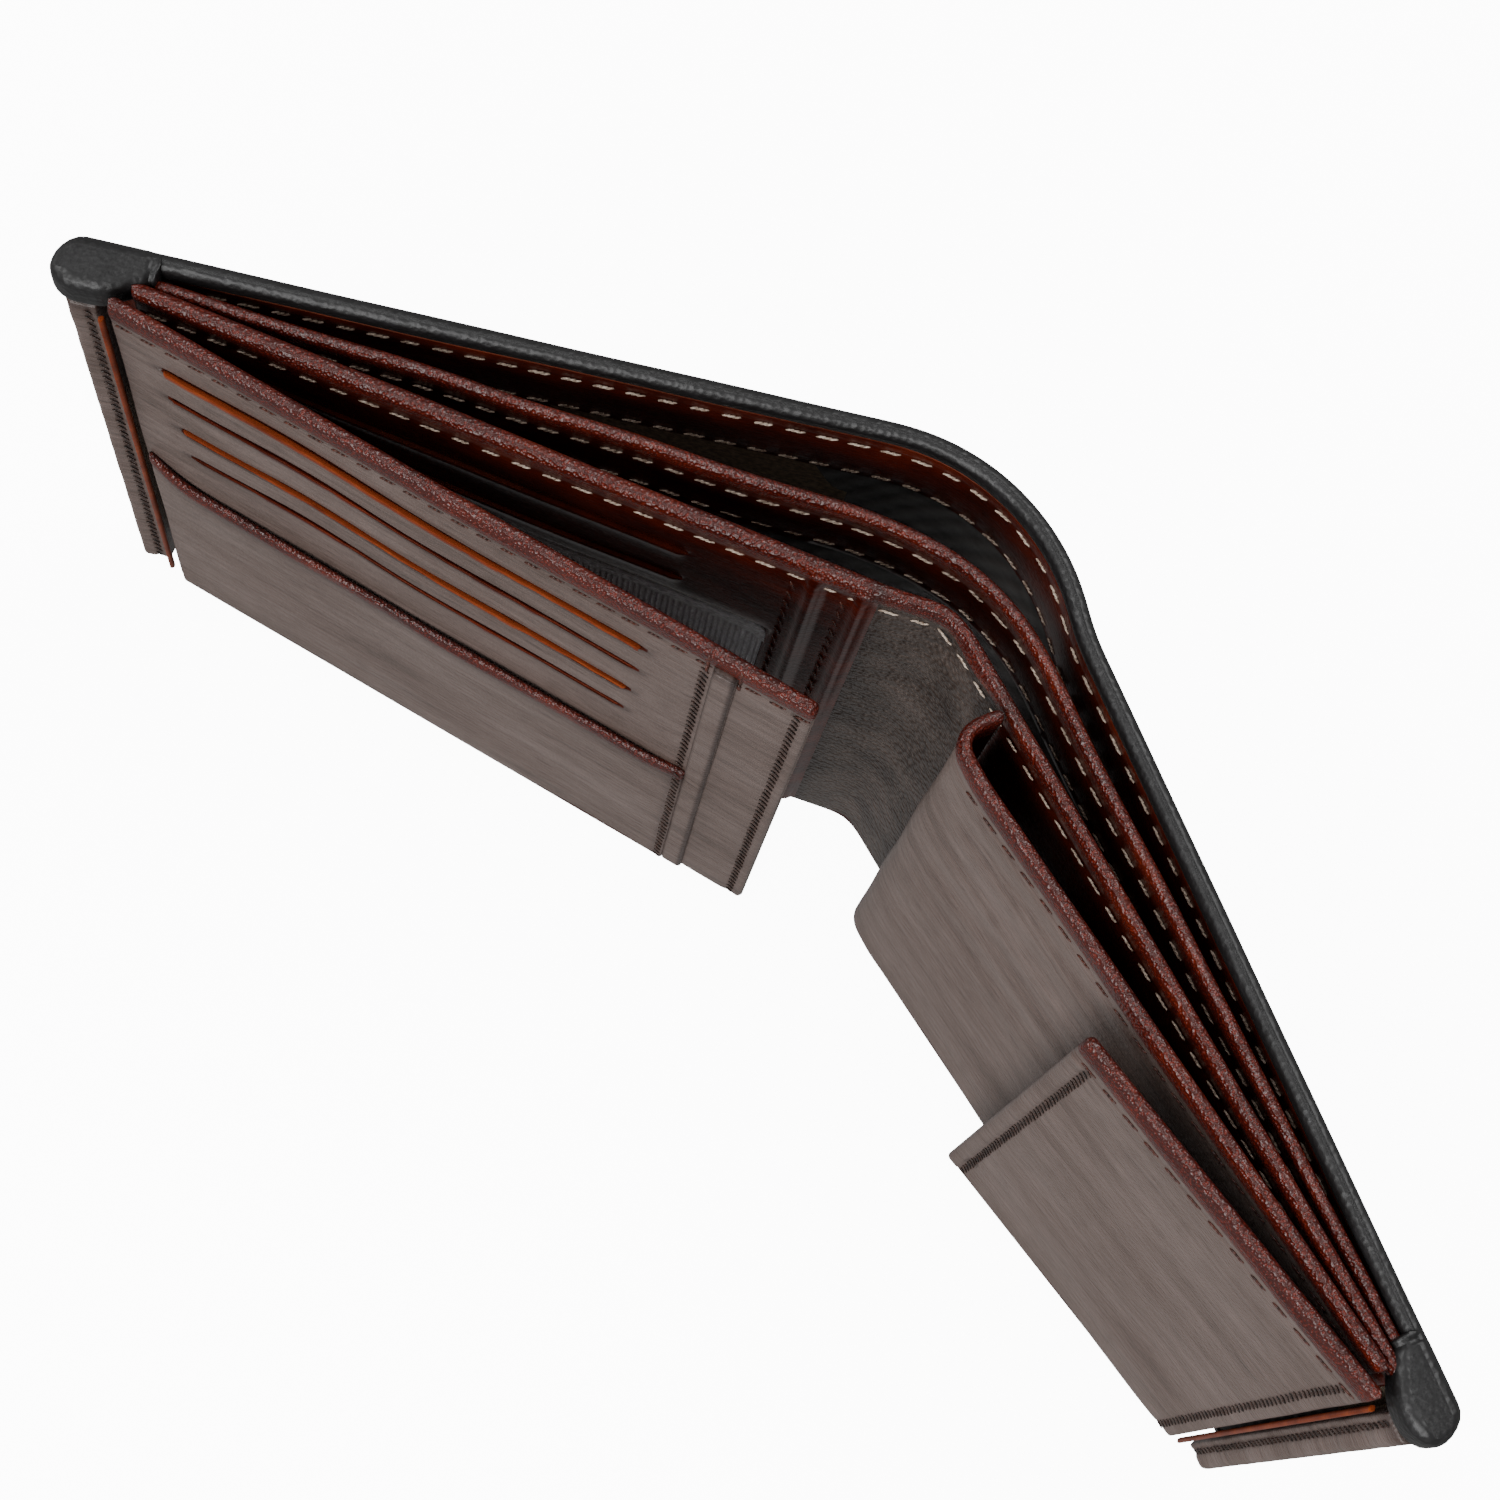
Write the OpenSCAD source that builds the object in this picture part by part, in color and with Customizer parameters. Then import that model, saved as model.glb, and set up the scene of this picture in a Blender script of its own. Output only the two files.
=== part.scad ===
// Bifold wallet standing on its lower edges, spine at the back (+Y), opening towards -Y.
// The origin is at the middle of the spine's wall, at its foot.
// Each half is drawn in its own frame: s runs along the cover from the spine to the
// end seam and d runs from the cover's outer face into the wallet.
// Each ply is drawn in the frame of its own seam: u runs from the end seam back towards
// the spine, w runs from the middle of the ply towards the reader.

/* [Overall] */
// Height of the wallet
wallet_h = 90; // [70:1:130]
// Length of the left half from the spine to its end
left_len = 102; // [85:1:140]
// Length of the right half from the spine to its end
right_len = 100; // [85:1:140]
// Lean of each half back from straight across
half_lean = 28; // [20:1:34]
// Outer radius of the rounded spine
spine_r = 29.5; // [24:0.5:40]
// Turn of the spine on its right side before the right half starts
spine_turn = 45; // [38:1:48]

/* [Cover] */
// Thickness of the cover leather
leather_t = 1.2; // [0.8:0.1:1.6]
// Thickness of the board inside the cover
board_t = 0.4; // [0.3:0.1:0.6]
// Thickness of the twill lining
lining_t = 0.4; // [0.3:0.1:0.6]
// Width of the turned edge of the cover
turn_w = 2; // [1.5:0.1:3]
// Height of the brown facing strip inside the cover
facing_h = 12; // [8:0.5:20]
// Length of the corner caps along the top edge
cap_len = 9; // [6:0.5:12]
// Depth that the corner caps reach down the end
cap_h = 5; // [4:0.5:8]

/* [Divider] */
// Thickness of the divider
divider_t = 1; // [0.8:0.1:1.2]
// Height of the divider's brown facing
divider_facing_h = 11; // [8:0.5:20]
// How far the divider's top sits below the cover's top
divider_drop = 1; // [0.5:0.5:4]
// Tilt of the left divider away from the cover
left_divider_tilt = 5.6; // [4.6:0.1:6.4]
// Tilt of the right divider away from the cover
right_divider_tilt = 2.6; // [2:0.1:3.4]

/* [Inner panel] */
// Thickness of the left inner panel
left_inner_t = 1.6; // [1.4:0.1:1.8]
// Thickness of the right inner panel
right_inner_t = 1.2; // [0.9:0.1:1.3]
// Tilt of the left inner panel
left_inner_tilt = 10; // [9:0.1:11]
// Tilt of the right inner panel
right_inner_tilt = 5.9; // [5.4:0.1:6.5]
// Height of the rolled top edges
roll_h = 3; // [2:0.5:4]
// Height of the mesh window's top edge
mesh_top = 64; // [50:1:66]
// Width of the mesh window
mesh_w = 58; // [40:1:60]

/* [Card slits] */
// Length of a card slit
slit_len = 69; // [50:1:72]
// Height of a card slit
slit_w = 1.2; // [0.8:0.1:1.6]
// Spacing of the card slits
slit_pitch = 8.6; // [7:0.2:9]
// Depth of the first slit below the top edge
first_slit = 11; // [9:0.5:14]

/* [Card flap] */
// Length of the card section
card_section = 87; // [84:0.5:88]
// Width of the seam strip beside the card section
seam_strip_w = 3.5; // [2.5:0.5:5]
// Width of the free panel beyond the seam strip
free_panel_w = 9.3; // [7:0.1:10]
// Tilt of the card flap away from the cover
flap_tilt = 18.4; // [17:0.1:21]
// Thickness of the flap's backing
backing_t = 0.8; // [0.6:0.1:0.9]
// Thickness of the flap's card panel
card_panel_t = 1; // [0.8:0.1:1.1]
// Thickness of the slip pocket on the flap
slip_t = 0.8; // [0.6:0.1:1]
// Height of the slip pocket's mouth
slip_h = 42; // [36:1:46]

/* [Coin pocket] */
// Length of the coin pocket's front
coin_len = 81; // [70:1:84]
// Thickness of the coin pocket's front
coin_t = 1.2; // [0.9:0.1:1.3]
// Tilt of the coin pocket's front
coin_tilt = 10.5; // [10:0.1:11]
// Length of the coin flap from its hinge to its free edge
coin_flap_len = 52; // [40:1:60]
// Thickness of the coin flap's front leather
coin_front_t = 0.9; // [0.7:0.1:1]
// Thickness of the coin flap's backing
coin_back_t = 0.7; // [0.5:0.1:0.8]
// Tilt of the coin flap
coin_flap_tilt = 15.5; // [14.8:0.1:18]

/* [Seams] */
// Distance from an end of the cover to the seam of its flap
binding_w = 4.5; // [3.5:0.5:5]
// How far the end bindings lie below the flaps' seams, which lets a flap fold right back
binding_drop = 2; // [1.6:0.1:2.2]
// Width of a folded hinge strip
hinge_w = 1.2; // [0.8:0.1:1.6]
// Width of a turned free edge
edge_w = 2; // [1.5:0.5:3]
// Clearance between plies that move apart
ply_gap = 0.3; // [0.25:0.05:0.4]

/* [Hidden] */
$fn = 48;
cover_t = leather_t + board_t + lining_t;
spine_y = cover_t / 2 - spine_r; // middle of the spine's curve
left_start = [-spine_r * sin(half_lean), spine_y + spine_r * cos(half_lean)];
right_start = [spine_r * sin(spine_turn), spine_y + spine_r * cos(spine_turn)];
// angles on the spine where the left and right halves begin to move
left_fold_at = 13;
right_fold_at = 28;
fold_gap = 0.9; // in degrees, on each side of a fold
seam_clear = hinge_w / 2 + ply_gap; // from a flap's seam to what lies on each side of it

// how far each ply's seam lies in from the end of the cover
left_divider_in = 10;
left_inner_in = 8;
right_divider_in = 9;
right_inner_in = 6;
coin_in = 8;
// what the seams of the plies are packed with, so that the stack closes flat
left_packing = 1.1;
right_packing = 0.5;
seam_skin = 0.1;

// seams, as [s, d] of the middle of each ply at its end
left_divider_seam = [left_len - left_divider_in, cover_t + left_packing + divider_t / 2];
left_inner_seam = [left_len - left_inner_in,
    left_divider_seam[1] + divider_t / 2 + seam_skin + left_inner_t / 2];
flap_t = backing_t + card_panel_t + slip_t;
flap_len = card_section + seam_strip_w + free_panel_w;
// the flaps hinge at their front faces, so that they can fold right back
flap_seam = [left_len - binding_w,
    left_inner_seam[1] + left_inner_t / 2 + ply_gap + seam_skin + flap_t];
right_divider_seam = [right_len - right_divider_in, cover_t + right_packing + divider_t / 2];
right_inner_seam = [right_len - right_inner_in,
    right_divider_seam[1] + divider_t / 2 + ply_gap + right_inner_t / 2];
coin_seam = [right_len - coin_in,
    right_inner_seam[1] + right_inner_t / 2 + ply_gap + seam_skin + coin_t / 2];
coin_flap_t = coin_front_t + coin_back_t;
coin_flap_seam = [right_len - binding_w, coin_seam[1] + coin_t / 2 + ply_gap + coin_flap_t];

// lengths of the plies, so that each stops at its fold beside the spine
divider_fold_s = 14; // the left divider folds this far from the spine's curve
fold_s = 1; // the other plies fold this close to it
left_divider_len = left_divider_seam[0] - divider_fold_s;
left_inner_len = left_inner_seam[0] + fold_s;
right_divider_len = right_divider_seam[0] - fold_s;
right_inner_len = right_inner_seam[0] - fold_s;

foot = 1; // the inner plies stop this far above the lower edge
mesh_start = 26; // u of the mesh window's outer end
frame_w = 2; // outer side of the mesh window's frame
inner_slit_u = 4; // where the inner panel's slits start
tab_side = 1; // how far a card tab runs past its slit
tab_gap = 0.2; // from a card tab's top to its slit's top
fold_strip_w = 5; // each folded strip beside the spine
skin = 0.5; // thickness of the card tabs and the mesh

black = "#2b2829";
brown = "#4a1c12";
rolled = "#6a2a1c";
taupe = "#6b5f5c";
twill = "#15110f";

// places a drawing made in [s, d, z] on the left or the right half
module left_half() {
    translate([left_start[0], left_start[1], 0]) rotate([0, 0, half_lean + 180]) children();
}
module right_half() {
    translate([right_start[0], right_start[1], 0]) rotate([0, 0, -half_lean])
        mirror([0, 1, 0]) children();
}

// places a drawing made in [u, w, z] on a ply that hangs from a seam in a half
module ply(seam, tilt) {
    translate([seam[0], seam[1], 0]) rotate([0, 0, -tilt]) mirror([1, 0, 0]) children();
}

// a flat board between two corners
module board(u0, u1, w0, w1, z0, z1) {
    translate([u0, w0, z0]) cube([u1 - u0, w1 - w0, z1 - z0]);
}

// a rolled edge: a board with a round top
module rolled_edge(u0, u1, w, t, z0, z1) {
    board(u0, u1, w - t / 2, w + t / 2, z0, z1 - t / 2);
    translate([u0, w, z1 - t / 2]) rotate([0, 90, 0]) cylinder(h = u1 - u0, d = t);
}

// a card panel with horizontal slits cut through it
module slit_panel(u0, u1, w0, w1, z0, z1, slit_u, count) {
    difference() {
        board(u0, u1, w0, w1, z0, z1);
        for (i = [0:count - 1])
            board(slit_u, slit_u + slit_len, w0 - 1, w1 + 1,
                slit_z(i) - slit_w, slit_z(i));
    }
}
function slit_z(i) = wallet_h - first_slit - i * slit_pitch;

// points of a smooth curve that leaves a along one direction and meets b along another
function bend_point(a, da, b, db, k, t) =
    a * pow(1 - t, 3) + (a + da * k) * 3 * t * pow(1 - t, 2)
    + (b - db * k) * 3 * pow(t, 2) * (1 - t) + b * pow(t, 3);
function bend(a, da, b, db, k, n) = [for (i = [0:n]) bend_point(a, da, b, db, k, i / n)];
function along(p, i) = let (
    q = p[min(i + 1, len(p) - 1)] - p[max(i - 1, 0)]) q / norm(q);
function side(p, w) = [for (i = [0:len(p) - 1]) p[i] + w * [-along(p, i)[1], along(p, i)[0]]];
// the same curve with its ends drawn out, or drawn in where the length is negative
function run_on(p, a, b) = let (n = len(p) - 1) [for (i = [0:n])
    i == 0 ? p[0] - a * along(p, 0) : i == n ? p[n] + b * along(p, n) : p[i]];
function backwards(p) = [for (i = [len(p) - 1:-1:0]) p[i]];
// a strip of even thickness standing on a curve
module strip(path, w0, w1, z0, z1) {
    translate([0, 0, z0]) linear_extrude(z1 - z0)
        polygon(concat(side(path, w0), backwards(side(path, w1))));
}

// where a point of a ply lies in the row's plan
function turn(p, a) = [p[0] * cos(a) - p[1] * sin(a), p[0] * sin(a) + p[1] * cos(a)];
function left_plan(sd) = left_start + turn(sd, half_lean + 180);
function right_plan(sd) = right_start + turn([sd[0], -sd[1]], -half_lean);
function ply_point(seam, tilt, u) = seam + u * [-cos(tilt), sin(tilt)];
function left_heading(tilt) = turn([1, 0], half_lean - tilt);
function right_heading(tilt) = turn([1, 0], -half_lean + tilt);

// middle curves of the two panels across the spine, and how far each bows out
divider_bulge = 17;
inner_bulge = 13;
divider_path = bend(
    left_plan(ply_point(left_divider_seam, left_divider_tilt, left_divider_len + ply_gap)),
    left_heading(left_divider_tilt),
    right_plan(ply_point(right_divider_seam, right_divider_tilt, right_divider_len + ply_gap)),
    right_heading(right_divider_tilt), divider_bulge, 20);
gusset_path = bend(
    left_plan(ply_point(left_inner_seam, left_inner_tilt, left_inner_len + ply_gap)),
    left_heading(left_inner_tilt),
    right_plan(ply_point(right_inner_seam, right_inner_tilt, right_inner_len + ply_gap)),
    right_heading(right_inner_tilt), inner_bulge, 20);

// ---- outer shell ----

// the outer face of the cover in plan, for each of its three parts
function spine_point(a) = [spine_r * sin(a), spine_y + spine_r * cos(a)];
function spine_points(from_a, to_a) =
    [for (i = [0:8]) spine_point(from_a + (to_a - from_a) * i / 8)];
crease_len = 3; // the straight stretch of a half next to the spine's curve
left_outline = concat([left_plan([left_len, 0]), left_plan([crease_len, 0])],
    spine_points(-half_lean, -left_fold_at - fold_gap));
spine_outline = spine_points(-left_fold_at + fold_gap, right_fold_at - fold_gap);
right_outline = concat(spine_points(right_fold_at + fold_gap, spine_turn),
    [right_plan([crease_len, 0]), right_plan([right_len, 0])]);

// a part of the cover: leather with its edges turned over the board and the lining
module cover_part(outline, inside) {
    difference() {
        strip(outline, -cover_t, 0, 0, wallet_h);
        strip(inside, -cover_t - 1, -leather_t, turn_w, wallet_h - turn_w);
    }
}
module cover_left() {
    color(black) cover_part(left_outline, run_on(left_outline, -turn_w, 1));
}
module cover_spine() {
    color(black) cover_part(spine_outline, run_on(spine_outline, 1, 1));
}
module cover_right() {
    color(black) cover_part(right_outline, run_on(right_outline, 1, -turn_w));
}

// the turned edge that wraps the whole stack at a top corner
module corner_cap(length, seam, tail) {
    board(seam[0] + seam_clear, length, cover_t, seam[1] - binding_drop,
        wallet_h - cap_h, wallet_h);
    board(length - cap_len, length, cover_t, tail, wallet_h - turn_w, wallet_h);
}
module corner_cap_left() {
    color(black) left_half()
        corner_cap(left_len, flap_seam, left_divider_seam[1] - divider_t / 2 - ply_gap);
}
module corner_cap_right() {
    color(black) right_half()
        corner_cap(right_len, coin_flap_seam, right_divider_seam[1] - divider_t / 2 - 0.2);
}

module half_layer(length, d0, d1, z1) {
    board(crease_len, length - turn_w, d0, d1, turn_w, z1);
}
facing_z = wallet_h - turn_w - facing_h;
module board_left() {
    color("#8a7a66") left_half()
        half_layer(left_len, leather_t, leather_t + board_t, wallet_h - turn_w);
}
module board_right() {
    color("#8a7a66") right_half()
        half_layer(right_len, leather_t, leather_t + board_t, wallet_h - turn_w);
}
module lining_left() {
    color(twill) left_half() half_layer(left_len, leather_t + board_t, cover_t, facing_z);
}
module lining_spine() {
    color(twill) strip(spine_outline, -cover_t, -leather_t, turn_w, facing_z);
}
module lining_right() {
    color(twill) right_half() half_layer(right_len, leather_t + board_t, cover_t, facing_z);
}
module facing_left() {
    color(brown) left_half() board(crease_len, left_len - turn_w, leather_t + board_t, cover_t,
        facing_z, wallet_h - turn_w);
}
module facing_spine() {
    color(brown) strip(spine_outline, -cover_t, -leather_t, facing_z, wallet_h - turn_w);
}
module facing_right() {
    color(brown) right_half() board(crease_len, right_len - turn_w, leather_t + board_t, cover_t,
        facing_z, wallet_h - turn_w);
}

// ---- divider ----

divider_z = wallet_h - divider_drop;
divider_split = divider_z - divider_facing_h;
module divider_left() {
    color(twill) left_half() ply(left_divider_seam, left_divider_tilt)
        board(0, left_divider_len, -divider_t / 2, divider_t / 2, foot, divider_split);
}
module divider_right() {
    color(twill) right_half() ply(right_divider_seam, right_divider_tilt)
        board(0, right_divider_len, -divider_t / 2, divider_t / 2, foot, divider_split);
}
module divider_centre() {
    color(twill) strip(divider_path, -divider_t / 2, divider_t / 2, foot, divider_split);
}
module divider_facing_left() {
    color(rolled) left_half() ply(left_divider_seam, left_divider_tilt)
        rolled_edge(0, left_divider_len, 0, divider_t, divider_split, divider_z);
}
module divider_facing_right() {
    color(rolled) right_half() ply(right_divider_seam, right_divider_tilt)
        rolled_edge(0, right_divider_len, 0, divider_t, divider_split, divider_z);
}
module divider_facing_centre() {
    color(rolled) strip(divider_path, -divider_t / 2, divider_t / 2, divider_split, divider_z);
}

// ---- inner panel ----

inner_back = -left_inner_t / 2;
inner_split = inner_back + skin;
inner_front = left_inner_t / 2;
inner_z = wallet_h - roll_h;
fold_u = left_inner_len - 2 * fold_strip_w;
tab_h = 4; // height of a card tab showing in the inner panel
window_u = mesh_start + mesh_w;

module left_inner() {
    left_half() ply(left_inner_seam, left_inner_tilt) children();
}
module inner_card_panel() {
    color(brown) left_inner()
        slit_panel(0, fold_u, inner_split + skin, inner_front, mesh_top + 1, inner_z,
            inner_slit_u, 2);
}
module inner_card_tabs() {
    color(brown) left_inner() for (i = [0:1])
        board(inner_slit_u - tab_side, inner_slit_u + slit_len + tab_side,
            inner_split, inner_split + skin, slit_z(i) - tab_h, slit_z(i) - tab_gap);
}
module inner_backing() {
    color(twill) left_inner() board(0, left_inner_len, inner_back, inner_split, foot, inner_z);
}
module window_mesh() {
    color("#4f5357") left_inner()
        board(frame_w, window_u, inner_split, inner_split + skin, foot, mesh_top);
}
module window_frame() {
    color(brown) left_inner() {
        board(window_u, fold_u, inner_split, inner_front, foot, mesh_top + 1);
        board(0, frame_w, inner_split, inner_front, foot, mesh_top + 1);
    }
}
module fold_strips() {
    color(brown) left_inner() for (i = [0:1])
        board(fold_u + tab_gap + i * fold_strip_w, fold_u + (i + 1) * fold_strip_w,
            inner_split, inner_front, foot, inner_z);
}
module centre_gusset() {
    color(taupe) strip(gusset_path, -right_inner_t / 2, right_inner_t / 2, 0, inner_z);
}
module right_inner() {
    right_half() ply(right_inner_seam, right_inner_tilt) children();
}
module inner_right_panel() {
    color(brown) right_inner()
        board(0, right_inner_len, -right_inner_t / 2, right_inner_t / 2, foot, inner_z);
}
module inner_roll_left() {
    color(rolled) left_inner()
        rolled_edge(0, left_inner_len, 0, left_inner_t, inner_z, wallet_h);
}
module inner_roll_centre() {
    color(rolled) strip(gusset_path, -right_inner_t / 2, right_inner_t / 2, inner_z, wallet_h);
}
module inner_roll_right() {
    color(rolled) right_inner()
        rolled_edge(0, right_inner_len, 0, right_inner_t, inner_z, wallet_h);
}

// ---- card flap ----

flap_back = -flap_t;
flap_mid = flap_back + backing_t;
flap_face = flap_mid + card_panel_t;
section_start = seam_clear;
section_end = section_start + card_section - hinge_w;
free_start = section_end + seam_strip_w;
free_end = flap_len - edge_w;
slip_lap = 2; // how far the slip pocket's mouth stands above the solid part behind it
slit_in = 7; // where the flap's slits start in the card section
flap_slit_u = section_start + slit_in;
flap_z = wallet_h - roll_h;

// the strip sewn over the stack at an end, standing on the cover's lining side
module end_binding(length, seam) {
    board(seam[0] + seam_clear, length, cover_t, seam[1] - binding_drop, 0, wallet_h - cap_h);
}
module end_binding_left() {
    color(taupe) left_half() end_binding(left_len, flap_seam);
}
module hinge_strip() {
    board(-hinge_w / 2, hinge_w / 2, -hinge_w, 0, foot, wallet_h - cap_h - ply_gap);
}
module flap_hinge_strip() {
    color(rolled) left_half() ply(flap_seam, flap_tilt)
        hinge_strip();
}
module card_flap() {
    left_half() ply(flap_seam, flap_tilt) children();
}
module flap_backing() {
    color(brown) card_flap()
        board(seam_clear, free_end, flap_back, flap_mid, 0, flap_z);
}
module flap_card_tabs() {
    color("#8c4426") card_flap() for (i = [0:3])
        board(flap_slit_u - tab_side, flap_slit_u + slit_len + tab_side,
            flap_mid, flap_mid + skin, slit_z(i) - slit_pitch + ply_gap, slit_z(i) - tab_gap);
}
module flap_card_panel() {
    color(taupe) card_flap() {
        slit_panel(section_start, section_end, flap_mid + skin, flap_face,
            slip_h - slip_lap, flap_z, flap_slit_u, 4);
        board(section_start, section_end, flap_mid, flap_face, 0, slip_h - slip_lap);
    }
}
module flap_slip_pocket() {
    color(taupe) card_flap() board(section_start, section_end, flap_face, 0, 0, slip_h);
}
module flap_seam_strip() {
    color(taupe) card_flap() board(section_end, free_start, flap_mid, 0, 0, flap_z);
}
module flap_free_panel() {
    color(taupe) card_flap() board(free_start, free_end, flap_mid, flap_face, 0, flap_z);
}
module flap_free_edge() {
    color(taupe) card_flap() board(free_end, flap_len, flap_back, flap_face, 0, flap_z);
}
module flap_roll() {
    color(rolled) card_flap()
        rolled_edge(seam_clear, flap_len, (flap_back + flap_face) / 2, backing_t + card_panel_t,
            flap_z, wallet_h);
}

// ---- coin pocket and coin flap ----

coin_gap_in = 8;
coin_gap_u = right_inner_len - coin_gap_in; // where the side gusset meets the inner panel
gusset_stand = 0.6; // from the inner panel's gap to the middle of the gusset there
gusset_bulge = 7;
gusset_heading = -20; // the gusset leaves the inner panel this far off square
floor_short = [6, 4]; // how far the coin floor stops before the gusset, at its back and front
module coin_ply() {
    right_half() ply(coin_seam, coin_tilt) children();
}
coin_z = wallet_h - roll_h;
module coin_front() {
    color(taupe) coin_ply() board(0, coin_len, -coin_t / 2, coin_t / 2, foot, coin_z);
}
module coin_roll() {
    color(rolled) coin_ply() rolled_edge(0, coin_len, 0, coin_t, coin_z, wallet_h);
}
coin_corner = right_plan(ply_point(coin_seam, coin_tilt, coin_len + ply_gap));
gusset_root = right_plan(ply_point(right_inner_seam, right_inner_tilt, coin_gap_u)
    + [0, right_inner_t / 2 + ply_gap + gusset_stand]);
module coin_side_gusset() {
    color(taupe) strip(bend(gusset_root, turn([0, -1], gusset_heading - half_lean),
        coin_corner, right_heading(coin_tilt), gusset_bulge, 14),
        -coin_t / 2, coin_t / 2, foot, wallet_h);
}
module coin_floor() {
    color(twill) translate([0, 0, foot]) linear_extrude(skin) polygon([
        right_plan(ply_point(right_inner_seam, right_inner_tilt, floor_u)
            + [0, right_inner_t / 2 + ply_gap]),
        right_plan(ply_point(right_inner_seam, right_inner_tilt, coin_gap_u - floor_short[0])
            + [0, right_inner_t / 2 + ply_gap]),
        right_plan(ply_point(coin_seam, coin_tilt, coin_len - floor_short[1]) - [0, coin_t / 2 + ply_gap]),
        right_plan(ply_point(coin_seam, coin_tilt, floor_u) - [0, coin_t / 2 + ply_gap])]);
}
module end_binding_right() {
    color(taupe) right_half() end_binding(right_len, coin_flap_seam);
}
module coin_flap_hinge_strip() {
    color(rolled) right_half() ply(coin_flap_seam, coin_flap_tilt)
        hinge_strip();
}
module coin_flap() {
    right_half() ply(coin_flap_seam, coin_flap_tilt) children();
}
coin_split = -coin_front_t;
coin_flap_end = coin_flap_len - edge_w;
module coin_flap_front() {
    color(taupe) coin_flap()
        board(seam_clear, coin_flap_end, coin_split, 0, 0, coin_z);
}
module coin_flap_backing() {
    color(brown) coin_flap()
        board(seam_clear, coin_flap_end, -coin_flap_t, coin_split, 0, coin_z);
}
module coin_flap_free_edge() {
    color(taupe) coin_flap()
        board(coin_flap_end, coin_flap_len, -coin_flap_t, 0, 0, coin_z);
}
module coin_flap_roll() {
    color(rolled) coin_flap()
        rolled_edge(seam_clear, coin_flap_len, -coin_flap_t / 2, coin_flap_t, coin_z, wallet_h);
}

// ---- folded floors of the note compartments ----

floor_u = 14; // the floors start this far from the seams, where the gap is too thin for one
slot_in = 1; // room for a divider through a folded floor: before its seam, past its end and up
slot_past = 9;
slot_h = 4;
module floor_gusset(seam, tilt, u0, u1, thick) {
    translate([0, 0, foot]) linear_extrude(skin) polygon([
        [ply_point(seam, tilt, u0)[0], cover_t],
        [ply_point(seam, tilt, u1)[0], cover_t],
        ply_point(seam, tilt, u1) - [0, thick / 2 + ply_gap],
        ply_point(seam, tilt, u0) - [0, thick / 2 + ply_gap]]);
}
module floor_gusset_left() {
    color(twill) left_half() difference() {
        floor_gusset(left_inner_seam, left_inner_tilt, floor_u, left_divider_len, left_inner_t);
        ply(left_divider_seam, left_divider_tilt)
            board(-slot_in, left_divider_len + slot_past, -divider_t / 2 - ply_gap,
                divider_t / 2 + ply_gap, 0, slot_h);
    }
}
module floor_gusset_right() {
    color(twill) right_half() difference() {
        floor_gusset(right_inner_seam, right_inner_tilt, floor_u, right_divider_len, right_inner_t);
        ply(right_divider_seam, right_divider_tilt)
            board(-slot_in, right_divider_len + slot_past, -divider_t / 2 - ply_gap,
                divider_t / 2 + ply_gap, 0, slot_h);
    }
}

cover_left();
cover_spine();
cover_right();
corner_cap_left();
corner_cap_right();
board_left();
board_right();
lining_left();
lining_spine();
lining_right();
facing_left();
facing_spine();
facing_right();
divider_left();
divider_centre();
divider_right();
divider_facing_left();
divider_facing_centre();
divider_facing_right();
inner_card_panel();
inner_card_tabs();
inner_backing();
window_mesh();
window_frame();
fold_strips();
centre_gusset();
inner_right_panel();
inner_roll_left();
inner_roll_centre();
inner_roll_right();
end_binding_left();
flap_hinge_strip();
flap_card_panel();
flap_card_tabs();
flap_slip_pocket();
flap_backing();
flap_seam_strip();
flap_free_panel();
flap_free_edge();
flap_roll();
coin_front();
coin_roll();
coin_side_gusset();
coin_floor();
end_binding_right();
coin_flap_hinge_strip();
coin_flap_front();
coin_flap_backing();
coin_flap_free_edge();
coin_flap_roll();
floor_gusset_left();
floor_gusset_right();
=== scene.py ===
"""Bifold wallet: leather, lining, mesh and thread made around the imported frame.

Every length is in millimetres until cut() or stitch_row() makes a mesh, which is in metres.
"""
import math

import bmesh
import bpy
import numpy as np
from mathutils import Matrix, Vector, noise


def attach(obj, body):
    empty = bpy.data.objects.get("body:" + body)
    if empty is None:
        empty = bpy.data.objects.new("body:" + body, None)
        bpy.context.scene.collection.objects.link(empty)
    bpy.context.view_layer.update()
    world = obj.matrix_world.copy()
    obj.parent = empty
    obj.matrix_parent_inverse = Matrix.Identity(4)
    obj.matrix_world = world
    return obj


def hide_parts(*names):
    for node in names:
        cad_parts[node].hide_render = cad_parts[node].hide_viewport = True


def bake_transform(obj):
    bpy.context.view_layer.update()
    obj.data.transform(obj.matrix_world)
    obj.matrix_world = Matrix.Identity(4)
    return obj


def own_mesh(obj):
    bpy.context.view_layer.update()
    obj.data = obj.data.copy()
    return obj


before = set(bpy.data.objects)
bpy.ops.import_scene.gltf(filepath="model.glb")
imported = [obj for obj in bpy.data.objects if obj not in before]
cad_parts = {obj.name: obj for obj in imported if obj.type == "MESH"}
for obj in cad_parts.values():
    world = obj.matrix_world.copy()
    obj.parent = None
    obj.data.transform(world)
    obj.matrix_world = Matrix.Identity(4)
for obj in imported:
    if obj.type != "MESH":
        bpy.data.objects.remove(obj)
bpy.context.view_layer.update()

MM = 0.001
RUN_STEP = 0.4  # millimetres between the points of a run
HEIGHT = 90.0
HALF_OPEN = 28  # degrees that each half is turned in from flat
LEAN = math.radians(HALF_OPEN)
LEFT_START = np.array([-13.849, -2.453])  # where each half leaves the spine's curve
RIGHT_START = np.array([20.860, -7.640])
LEFT_LEN, RIGHT_LEN = 102.0, 100.0
MID_SPINE = np.array([3.2, -1.3])

# ---------------------------------------------------------------- plan


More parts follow.
